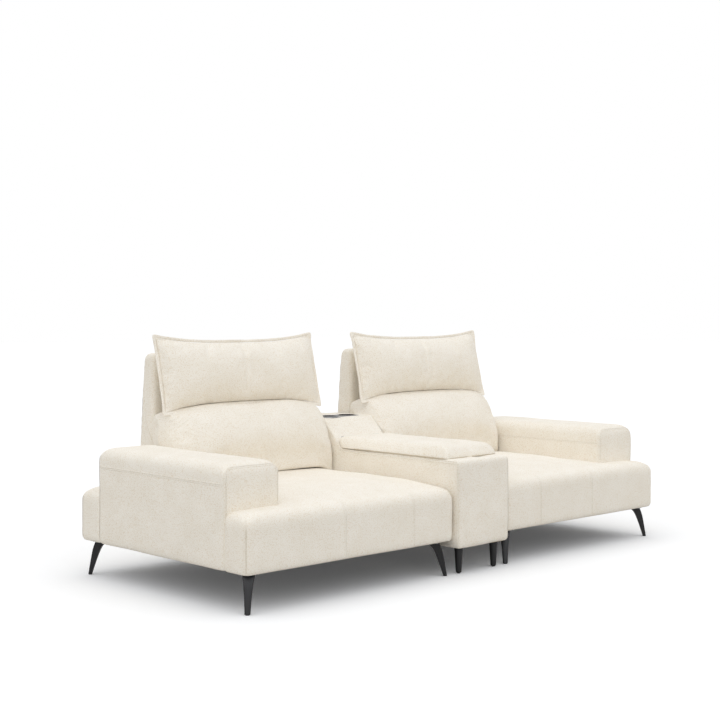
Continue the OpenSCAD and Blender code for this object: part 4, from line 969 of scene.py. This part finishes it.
# %% Pillow plane
PIL_W, PIL_H, FLANGE = 928.0, 374.0, 18.0
TOP_DRAW, LOW_DRAW, SIDE_DRAW, SAG = 34.0, 35.0, 8.0, 11.0
PIL_MID, LEAN = (592.5, 957.0, 878.5), math.radians(13.0)


def in_pillow(flat):
    """From the pillow's own width, height and thickness to millimetres in the unit."""
    u, v, n = flat[:, 0], flat[:, 1], flat[:, 2]
    return np.stack([PIL_MID[0] + u, PIL_MID[1] + v * math.sin(LEAN) - n * math.cos(LEAN),
                     PIL_MID[2] + v * math.cos(LEAN) + n * math.sin(LEAN)], axis=1)


def pillow_spot(a, b, inset):
    """Place in the panel for a and b from -1 to 1, with its edges drawn in."""
    share = 1 - inset / (PIL_H / 2)
    draw = np.where(b > 0, TOP_DRAW, LOW_DRAW) * share * (1 - np.abs(a) ** 3.0)
    pull = SIDE_DRAW * share * (1 - np.abs(b) ** 3)
    half = PIL_H / 2 - np.where(b > 0, SAG, -SAG) * share
    return a * (PIL_W / 2 - inset - pull), b * (half - inset - draw)


def crowded(count, spread):
    """Places from -1 to 1 that crowd towards both ends, where the panel bends most."""
    full = math.pi / 2 * spread
    return np.sin(np.linspace(-1, 1, count + 1) * full) / math.sin(full)


ACROSS, UP = 108, 42
A, B = np.meshgrid(crowded(ACROSS, 0.93), crowded(UP, 0.9))
print("pillow panel", A.size, "points")

# %% [markdown]
# The fill stands highest along the middle, a little more in the lower half, because the pillow
# sags. The panels meet the seam steeply, as on a stuffed bag. Both share the points of the seam.

# %% Stuff the pillows
FRONT_FULL, REAR_FULL, SEAM_HALF_THICK = 62.0, 46.0, 3.0
rim = (np.abs(A) > 0.999) | (np.abs(B) > 0.999)
inner = ~rim.reshape(-1)


def panel(full):
    """Points of one panel, with a height of full in its middle and none at its rim."""
    rise = np.clip((1 - np.abs(A) ** 5.5) * (1 - np.abs(B) ** 2.4), 0, 1) ** 0.66
    height = math.copysign(SEAM_HALF_THICK, full) + full * rise * (1 - 0.04 * B)
    return np.stack([*pillow_spot(A, B, FLANGE), np.where(rim, 0.0, height)],
                    axis=-1).reshape(-1, 3)


front_index = np.arange(A.size).reshape(A.shape)
rear_index = front_index.copy()
rear_index[~rim] = A.size + np.arange(inner.sum())
pillow_faces = []
for i in range(UP):
    for j in range(ACROSS):
        for index, ring in ((front_index, ((0, 0), (0, 1), (1, 1), (1, 0))),
                            (rear_index, ((0, 0), (1, 0), (1, 1), (0, 1)))):
            pillow_faces.append(tuple(int(index[i + di, j + dj]) for di, dj in ring))
pillow_points = placed(in_pillow(np.concatenate([panel(FRONT_FULL), panel(-REAR_FULL)[inner]])))
pillow_held = np.concatenate([~inner, np.zeros(inner.sum(), bool)])
pillow_full = stuffed(pillow_points, pillow_faces, 14.0, 0.02, held=pillow_held)
swelled = np.linalg.norm(pillow_full - pillow_points, axis=1).max() * MM
print("pillow swelled by up to", round(float(swelled), 1), "mm")

# %% [markdown]
# Short horizontal puckers run in from the side seams, deepest at the seam and gone after a
# hand's width. The flange is two layers of cloth with a rounded lip. It waves gently, and its
# lower edge curls forward over the cushion.

# %% Puckers and flange
PUCKER_MM, PUCKER_REACH, FLANGE_CURL = 1.8, 34.0, 12.0
FLANGE_SECTION = [(0.0, -0.5), (1.5, 1.6), (4.5, 3.3), (9.0, 4.1), (13.5, 4.4), (16.5, 3.6),
                  (18.0, 1.6), (18.3, 0.0)]
FLANGE_SECTION += [(s, -h) for s, h in FLANGE_SECTION[-2::-1]]


def puckers(a, b, seed):
    chance = np.random.default_rng(seed)
    total = np.zeros_like(a)
    for _ in range(4):
        pitch = chance.uniform(0.09, 0.2)
        total += np.sin(2 * math.pi * b / pitch + chance.uniform(0, 6) + 1.5 * a)
    away = 1 - np.abs(a)
    near = np.exp(-away * (PIL_W / 2) / PUCKER_REACH) * (1 - np.exp(-away * 90))
    return total * near * (1 - b ** 4) * PUCKER_MM / MM


def flange(seed):
    """The welt round the pillow, swept along its seam: points in the pillow's plane, faces."""
    chance = np.random.default_rng(seed)
    long, short = np.linspace(-1, 1, 141)[:-1], np.linspace(-1, 1, 61)[:-1]
    loop = np.array([(a, -1.0) for a in long] + [(1.0, b) for b in short]
                    + [(-a, 1.0) for a in long] + [(-1.0, -b) for b in short])
    turn = np.arange(len(loop)) / len(loop) * 2 * math.pi
    wave = sum(1.1 * np.sin(k * turn + chance.uniform(0, 6)) for k in (7, 11, 17, 23))
    curl = np.where(loop[:, 1] <= -1, FLANGE_CURL * (1 - loop[:, 0] ** 8), 0.0)
    rings = []
    for s, h in FLANGE_SECTION:
        u, v = pillow_spot(loop[:, 0], loop[:, 1], FLANGE - s)
        ring = np.stack([u, v, h + (wave + curl) * s / FLANGE], axis=1)
        for _ in range(9):
            ring = (np.roll(ring, 1, axis=0) + 2 * ring + np.roll(ring, -1, axis=0)) / 4
        rings.append(ring)
    return np.concatenate(rings), tube_faces(len(loop), len(rings))


print("flange", FLANGE, "mm wide")

# %% [markdown]
# The puckers and the slack leave the seam itself where it is, because the flange is sewn there.

# %% Dress the pillows
pillow_a = np.concatenate([A.reshape(-1), A.reshape(-1)[inner]])
pillow_b = np.concatenate([B.reshape(-1), B.reshape(-1)[inner]])
pillow_out = normals_of(pillow_full, pillow_faces)
for side_name, side in SIDES.items():
    left = int(side < 0)
    lie = puckers(pillow_a, pillow_b, 51 + left)
    lie += slack(pillow_full, 210, 0.9, 53 + left) * (1 - np.abs(pillow_b) ** 6)
    points = pillow_full + pillow_out * np.where(pillow_held, 0.0, lie)[:, None]
    body = f"{side_name}_headrest"
    pillow = piece(f"{side_name}_head_pillow_soft", points, pillow_faces, body, ivory,
                   side, [f"{side_name}_head_pillow"], rounds=1)
    welt_points, welt_faces = flange(55 + left)
    piece(f"{side_name}_head_pillow_flange", placed(in_pillow(welt_points)), welt_faces, body,
          ivory, side, rounds=1)
    print(pillow.name, "with flange of", len(welt_points), "points")

# %% [markdown]
# ## The console
# The console is a narrow padded box. Its rear third rises in a slope to a block that carries the
# cup plate. The bin's mouth is cut before the net is made, so that its edge comes out soft.

# %% Console form
CON_W, CON_Y0, CON_Y1, CON_FOOT, RIM, BLOCK = 330.0, -22.0, 1150.0, 117.0, 501.0, 634.0
SLOPE_Y, SLOPE_DEG = 738.0, 46.0
SLOPE = math.radians(SLOPE_DEG)
CON_R, DIP_R, CREST_R, REAR_R, CON_ROLL = 16.0, 8.0, 24.0, 20.0, 12.0
BIN_X, BIN_Y0, BIN_Y1, BIN_R = 130.0, 88.0, 702.0, 6.0


def slope_y(z):
    return SLOPE_Y + (z - RIM) / math.tan(SLOPE)


def console_outline(e):
    """Side outline of the console, drawn in by e, from its front foot over the top."""
    bend = math.tan(SLOPE / 2)
    return np.array(
        side_arc(CON_Y0 + CON_R, CON_FOOT + CON_R, CON_R - e, 270, 180)
        + side_arc(CON_Y0 + CON_R, RIM - CON_R, CON_R - e, 180, 90)
        + side_arc(SLOPE_Y - DIP_R * bend, RIM + DIP_R, DIP_R + e, 270, 270 + SLOPE_DEG, 4)
        + side_arc(slope_y(BLOCK) + CREST_R * bend, BLOCK - CREST_R, CREST_R - e,
                   90 + SLOPE_DEG, 90)
        + side_arc(CON_Y1 - REAR_R, BLOCK - REAR_R, REAR_R - e, 90, 0)
        + side_arc(CON_Y1 - CON_R, CON_FOOT + CON_R, CON_R - e, 0, -90))


con_ends = rolled(CON_ROLL, [0, 22, 45, 67, 90])
con_stack = [np.insert(console_outline(e), 0, -CON_W / 2 + x, axis=1) for x, e in con_ends]
con_stack += [np.insert(console_outline(e), 0, CON_W / 2 - x, axis=1) for x, e in con_ends[::-1]]
mouth = stacked([rounded_outline(-BIN_X, BIN_X, BIN_Y0, BIN_Y1, BIN_R, z) for z in (150, 540)])
con_points, con_faces = netted(*stacked(con_stack), 8.0, [mouth], soften=3)
print("console net", len(con_points), "points")

# %% [markdown]
# The plate is let into the block's top, so the cloth is tucked under it and round the wells. The
# side panels are sewn to the band that runs over front, top, slope and block, so a seam follows
# the whole side outline.

# %% Dress the console
CUP_Y, PLATE_W, PLATE_D, PLATE_TUCK = 941.62, 232.0, 104.0, 12.0
WELL_X, WELL_TUCK_R, WELL_TUCK = 56.0, 47.0, 78.0

lie = slack(con_points, 240, 2.4, 61) + slack(con_points, 70, 0.7, 62)
points = con_points + normals_of(con_points, con_faces) * lie[:, None]
x_mm, y_mm = np.abs(points[:, 0]) * MM, points[:, 1] * MM - FRONT - CUP_Y
under_plate = ((x_mm < PLATE_W / 2 - 5) & (np.abs(y_mm) < PLATE_D / 2 - 5)
               & (points[:, 2] > (BLOCK - 34) / MM))
near_well = np.hypot(x_mm - WELL_X, y_mm) < WELL_TUCK_R
points[under_plate, 2] = (BLOCK - PLATE_TUCK) / MM
points[under_plate & near_well, 2] = (BLOCK - WELL_TUCK) / MM
points[:, 2] = np.maximum(points[:, 2], (CON_FOOT + 0.5) / MM)
side_run = [(CON_Y0 + 7, z) for z in (128, 250, 380, RIM - 20)]
side_run += [(y, z) for y, z in console_outline(7.0)[7:-7]]
con_seams = []
for x in (-CON_W / 2 - 3, CON_W / 2 + 3):
    con_seams.append([(x, y, z) for y, z in side_run])
    con_seams.append([(x, CON_Y1 - 7, z) for z in (BLOCK - 24, 450, 300, 128)])
cover("console_upholstery", "console_cover", points, con_faces, "base", 1.0, con_seams,
      "console_seams")

# %% [markdown]
# ## The console's lid
# The lid is a padded board. Its pad is crowned, and it rolls over further at its nose than at its
# sides. Its rear follows the slope and leaves room for the hinges.

# %% Lid form
LID_Z, LID_Y0 = 501.4, 52.0
LID_ROLL, LID_NOSE, LID_EDGE, LID_RISE, LID_CROWN = 34.0, 62.0, 9.0, 38.0, 6.0
LID_CROWN_REACH, HINGE_GAP = 110.0, 4.0
SLOPE_GAP = HINGE_GAP / math.sin(SLOPE)


def lid_outline(i, z, nose, rear):
    """The lid's outline at height z: i in at its sides, nose in front and rear behind."""
    return rounded_outline(-CON_W / 2 + i, CON_W / 2 - i, LID_Y0 + nose,
                           slope_y(z) - SLOPE_GAP - rear, 10 + 0.2 * i, z)


lid_stack = [lid_outline(0, LID_Z + z, 0, -4) for z in (0, 4, LID_EDGE)]
for t in np.radians([12, 24, 36, 48, 60, 72, 82, 90]):
    over = 1 - math.cos(t)
    lid_stack.append(lid_outline(LID_ROLL * over, LID_Z + LID_EDGE + LID_RISE * math.sin(t),
                                 LID_NOSE * over, -4 + 3 * over))
for i in (14, 30, 50, 76, 100, LID_CROWN_REACH):
    row = lid_outline(LID_ROLL + i, LID_Z + LID_EDGE + LID_RISE, LID_NOSE + i, i - 1)
    row[:, 2] += LID_CROWN * math.sin(math.pi / 2 * i / LID_CROWN_REACH)
    lid_stack.append(row)
lid_points, lid_faces = netted(*stacked(lid_stack), 6.0, soften=3)
lid_keep = eased(lid_points[:, 2], 0.504, 0.53)
lid_keep *= 0.35 + 0.65 * eased(-lid_points[:, 1], -0.19, -0.12)
lid_full = stuffed(lid_points, lid_faces, 7.0, 0.01, keep=lid_keep)
print("lid net", len(lid_points), "points")

# %% [markdown]
# The pad's lower edge hangs a little over its board, and the underside is hollowed by 5 mm,
# because the board shows there when the lid is up. One narrow seam runs round the nose.

# %% Dress the lid
BOARD_X, BOARD_Y0, BOARD_Y1, LID_HOLLOW = 139.0, 78.0, 728.0, 5.0

lie = slack(lid_full, 160, 1.2, 71) * eased(lid_full[:, 2], 0.51, 0.54)
points = lid_full + normals_of(lid_full, lid_faces) * lie[:, None]
points[:, 2] -= 0.004 * (1 - eased(points[:, 2], 0.504, 0.526))
rear_limit = (slope_y(points[:, 2] * MM) - SLOPE_GAP * 0.15 + FRONT) / MM
points[:, 1] = np.minimum(points[:, 1], rear_limit)
points[:, 2] = np.maximum(points[:, 2], LID_Z / MM)
y_mm = points[:, 1] * MM - FRONT
hollow = ((np.abs(points[:, 0]) * MM < BOARD_X) & (y_mm > BOARD_Y0) & (y_mm < BOARD_Y1)
          & (points[:, 2] < 0.506))
points[hollow, 2] = (LID_Z + LID_HOLLOW) / MM
nose_seam = sorted([(x, y, z) for x, y, z in lid_outline(-1.0, LID_Z + 2, -1.0, 0) if y < 700],
                   key=lambda p: math.atan2(p[0], p[1] - 700))
narrow = [(s * 0.45, h * 0.4) for s, h in SEAM_SECTION]
cover("console_lid_soft", "console_lid_pad", points, lid_faces, "console_lid", 1.0,
      [nose_seam], "console_lid_seam", narrow)

# %% [markdown]
# ## The blade legs
# Each seat unit stands on four cast blade legs that splay out to the platform's corners. A
# blade narrows to its tip, with a soft ridge down its outer edge. The CAD legs are faceted
# sections; here the same sections are drawn finer and a little fuller, with rounded ridges, so
# that the satin coat shows a clean highlight.

# %% Blade sections
BLADE_TIP, BLADE_SPLAY, BLADE_W, BLADE_WIDENS = 17.0, 58.0, 22.0, 24.0
PLATE_GAP, LEG_PLATE, GLIDE = 1.0, 4.0, 3.0
BLADE_H = LEG_H - PLATE_GAP - LEG_PLATE - GLIDE
BLADE_ROWS = np.array([(0, 0, 0, 0), (0.25, 0.2, 0.08, 0.12), (0.5, 0.42, 0.17, 0.3),
                       (0.7, 0.62, 0.25, 0.52), (0.82, 0.78, 0.32, 0.72),
                       (0.9, 0.96, 0.38, 0.86), (0.96, 1.2, 0.43, 0.96), (1, 1.42, 0.47, 1)])


def blade_ring(h):
    """Section at share h of the height. Rows are (height, inner edge, outer edge, width)."""
    inward, outward, wide = (np.interp(h, BLADE_ROWS[:, 0], BLADE_ROWS[:, k])
                             for k in (1, 2, 3))
    inner = -BLADE_TIP / 2 - inward * BLADE_SPLAY
    outer = BLADE_TIP / 2 - outward * (BLADE_SPLAY + BLADE_TIP)
    half = (BLADE_W + BLADE_WIDENS * wide) / 2
    flank = [(inner, 0.36), (inner + 0.7, 0.7), (inner + 2.5, 1), (outer - 3.4, 1),
             (outer - 2.2, 0.82), (outer - 0.5, 0.25)]
    outline = [(u, -half * s) for u, s in flank] + [(outer, 0)]
    outline += [(u, half * s) for u, s in flank[::-1]]
    return [(u, v, GLIDE + BLADE_H * h) for u, v in outline]


heights = np.concatenate([np.linspace(0, 0.7, 12), np.linspace(0.73, 1, 14)])
blade_stack = np.array([blade_ring(h) for h in heights])
blade_stack[1:-1] = (blade_stack[:-2] + 2 * blade_stack[1:-1] + blade_stack[2:]) / 4
print("blade of", len(heights), "sections")

# %% [markdown]
# Every corner takes the same blade, turned so that its tip points away from the unit's middle.

# %% Blade legs
LEG_IN = 30.0
LEG_SPOTS = {"front_outer": (OUT_X - LEG_IN, LEG_IN, -45),
             "front_inner": (IN_X + LEG_IN, LEG_IN, -135),
             "rear_outer": (OUT_X - LEG_IN, SEAT_D - LEG_IN, 45),
             "rear_inner": (IN_X + LEG_IN, SEAT_D - LEG_IN, 135)}
for spot_name, (tip_x, tip_y, turn) in LEG_SPOTS.items():
    c, s = math.cos(math.radians(turn)), math.sin(math.radians(turn))
    rings = [np.column_stack([tip_x + r[:, 0] * c - r[:, 1] * s,
                              tip_y + r[:, 0] * s + r[:, 1] * c, r[:, 2]]) for r in blade_stack]
    blade_points, blade_faces = stacked(rings)
    for side_name, side in SIDES.items():
        blade = piece(f"{side_name}_{spot_name}_blade", placed(blade_points), blade_faces,
                      "base", black_coat, side,
                      [f"{side_name}_{spot_name}_leg"])
        edged = blade.modifiers.new("crisp ends", "EDGE_SPLIT")
        edged.split_angle = math.radians(50)
print("blades", 2 * len(LEG_SPOTS))

# %% [markdown]
# ## Light, floor and camera
# The photograph is a catalogue cut-out: a white ground, soft light from above and all round, and
# a soft shadow under the seats. A room of lamps could give that, but a pale world that brightens
# towards its top, with one very broad sun, is simpler and lights the floor alike all over. To
# the camera and in reflections the world is pure white.

# %% World and lamp
HORIZON, ZENITH = 0.56, 0.7

world = bpy.data.worlds.new("soft studio")
bpy.context.scene.world = world
world.use_nodes = True
tree = world.node_tree
tree.nodes.clear()
seen = add_node(tree, "ShaderNodeLightPath")
either = add_node(tree, "ShaderNodeMath", {"operation": "MAXIMUM"},
                  {0: seen.outputs["Is Camera Ray"], 1: seen.outputs["Is Glossy Ray"]})
where = add_node(tree, "ShaderNodeTexCoord")
height = add_node(tree, "ShaderNodeSeparateXYZ", None, {"Vector": where.outputs["Generated"]})
ceiling = add_node(tree, "ShaderNodeMapRange", None,
                   {"Value": height.outputs["Z"], "To Min": HORIZON, "To Max": ZENITH})
plain = add_node(tree, "ShaderNodeBackground", None,
                 {"Color": linear("#FBFAF8"), "Strength": ceiling.outputs["Result"]})
white = add_node(tree, "ShaderNodeBackground", None, {"Color": linear("#FFFFFF")})
mixed = add_node(tree, "ShaderNodeMixShader", None,
                 {0: either.outputs["Value"], 1: plain.outputs["Background"],
                  2: white.outputs["Background"]})
add_node(tree, "ShaderNodeOutputWorld", None, {"Surface": mixed.outputs["Shader"]})

overhead = bpy.data.lights.new("overhead softbox", "SUN")
overhead.energy, overhead.angle = 1.36, math.radians(115)
overhead.color = linear("#F4F8FF")[:3]
softbox = bpy.data.objects.new("overhead softbox", overhead)
softbox.rotation_euler = Vector((0.3, 0.3, -1.0)).to_track_quat("-Z", "Y").to_euler()
bpy.context.scene.collection.objects.link(softbox)
print("world and overhead softbox set")

# %% [markdown]
# The studio floor is a matt white sweep. The camera sees it fully white, with a faint glow that
# keeps its deepest shadow off black. Other rays meet a greyer floor, so that it doesn't throw too
# much light up the sides of the sofa.

# %% Floor
FLOOR_HALF_M, FLOOR_GLOW = 40.0, 0.06

floor_mesh = bpy.data.meshes.new("studio floor")
floor_mesh.from_pydata([(x * FLOOR_HALF_M, y * FLOOR_HALF_M, 0)
                        for x, y in ((-1, -1), (1, -1), (1, 1), (-1, 1))], [], [(0, 1, 2, 3)])
floor = bpy.data.objects.new("studio_floor", floor_mesh)
bpy.context.scene.collection.objects.link(floor)
floor_finish = bpy.data.materials.new("white studio floor")
floor_finish.use_nodes = True
tree = floor_finish.node_tree
tree.nodes.clear()
seen = add_node(tree, "ShaderNodeLightPath")
tint = add_node(tree, "ShaderNodeMix", {"data_type": "RGBA"},
                {"Factor": seen.outputs["Is Camera Ray"], 6: linear("#D0CECA"),
                 7: linear("#FFFFFF")})
matt = add_node(tree, "ShaderNodeBsdfDiffuse", None, {"Color": tint.outputs[2]})
faint = add_node(tree, "ShaderNodeMath", {"operation": "MULTIPLY"},
                 {0: seen.outputs["Is Camera Ray"], 1: FLOOR_GLOW})
glow = add_node(tree, "ShaderNodeEmission", None,
                {"Color": linear("#FFFFFF"), "Strength": faint.outputs["Value"]})
summed = add_node(tree, "ShaderNodeAddShader", None,
                  {0: matt.outputs["BSDF"], 1: glow.outputs["Emission"]})
add_node(tree, "ShaderNodeOutputMaterial", None, {"Surface": summed.outputs["Shader"]})
floor_mesh.materials.append(floor_finish)
print("floor laid")

# %% [markdown]
# The camera stands where the photographer's stood: 4.4 m to the left, 4.5 m in front, 1.14 m up,
# turned 44 degrees, with a lens of 67 mm. The small shift is the photograph's own framing.

# %% Camera
lens = bpy.data.cameras.new("photo camera")
lens.lens, lens.sensor_width = 66.64, 36.0
lens.shift_x, lens.shift_y = -0.0268, -0.01425
lens.dof.use_dof = False
camera = bpy.data.objects.new("photo camera", lens)
camera.location = (-4.404, -4.4825, 1.143)
camera.rotation_euler = (math.radians(90 - 1.604), 0.0, -math.radians(44.0))
bpy.context.scene.collection.objects.link(camera)
bpy.context.scene.camera = camera
bpy.context.scene.view_settings.view_transform = "Standard"
print("camera set")

# %% [markdown]

print("scene built")
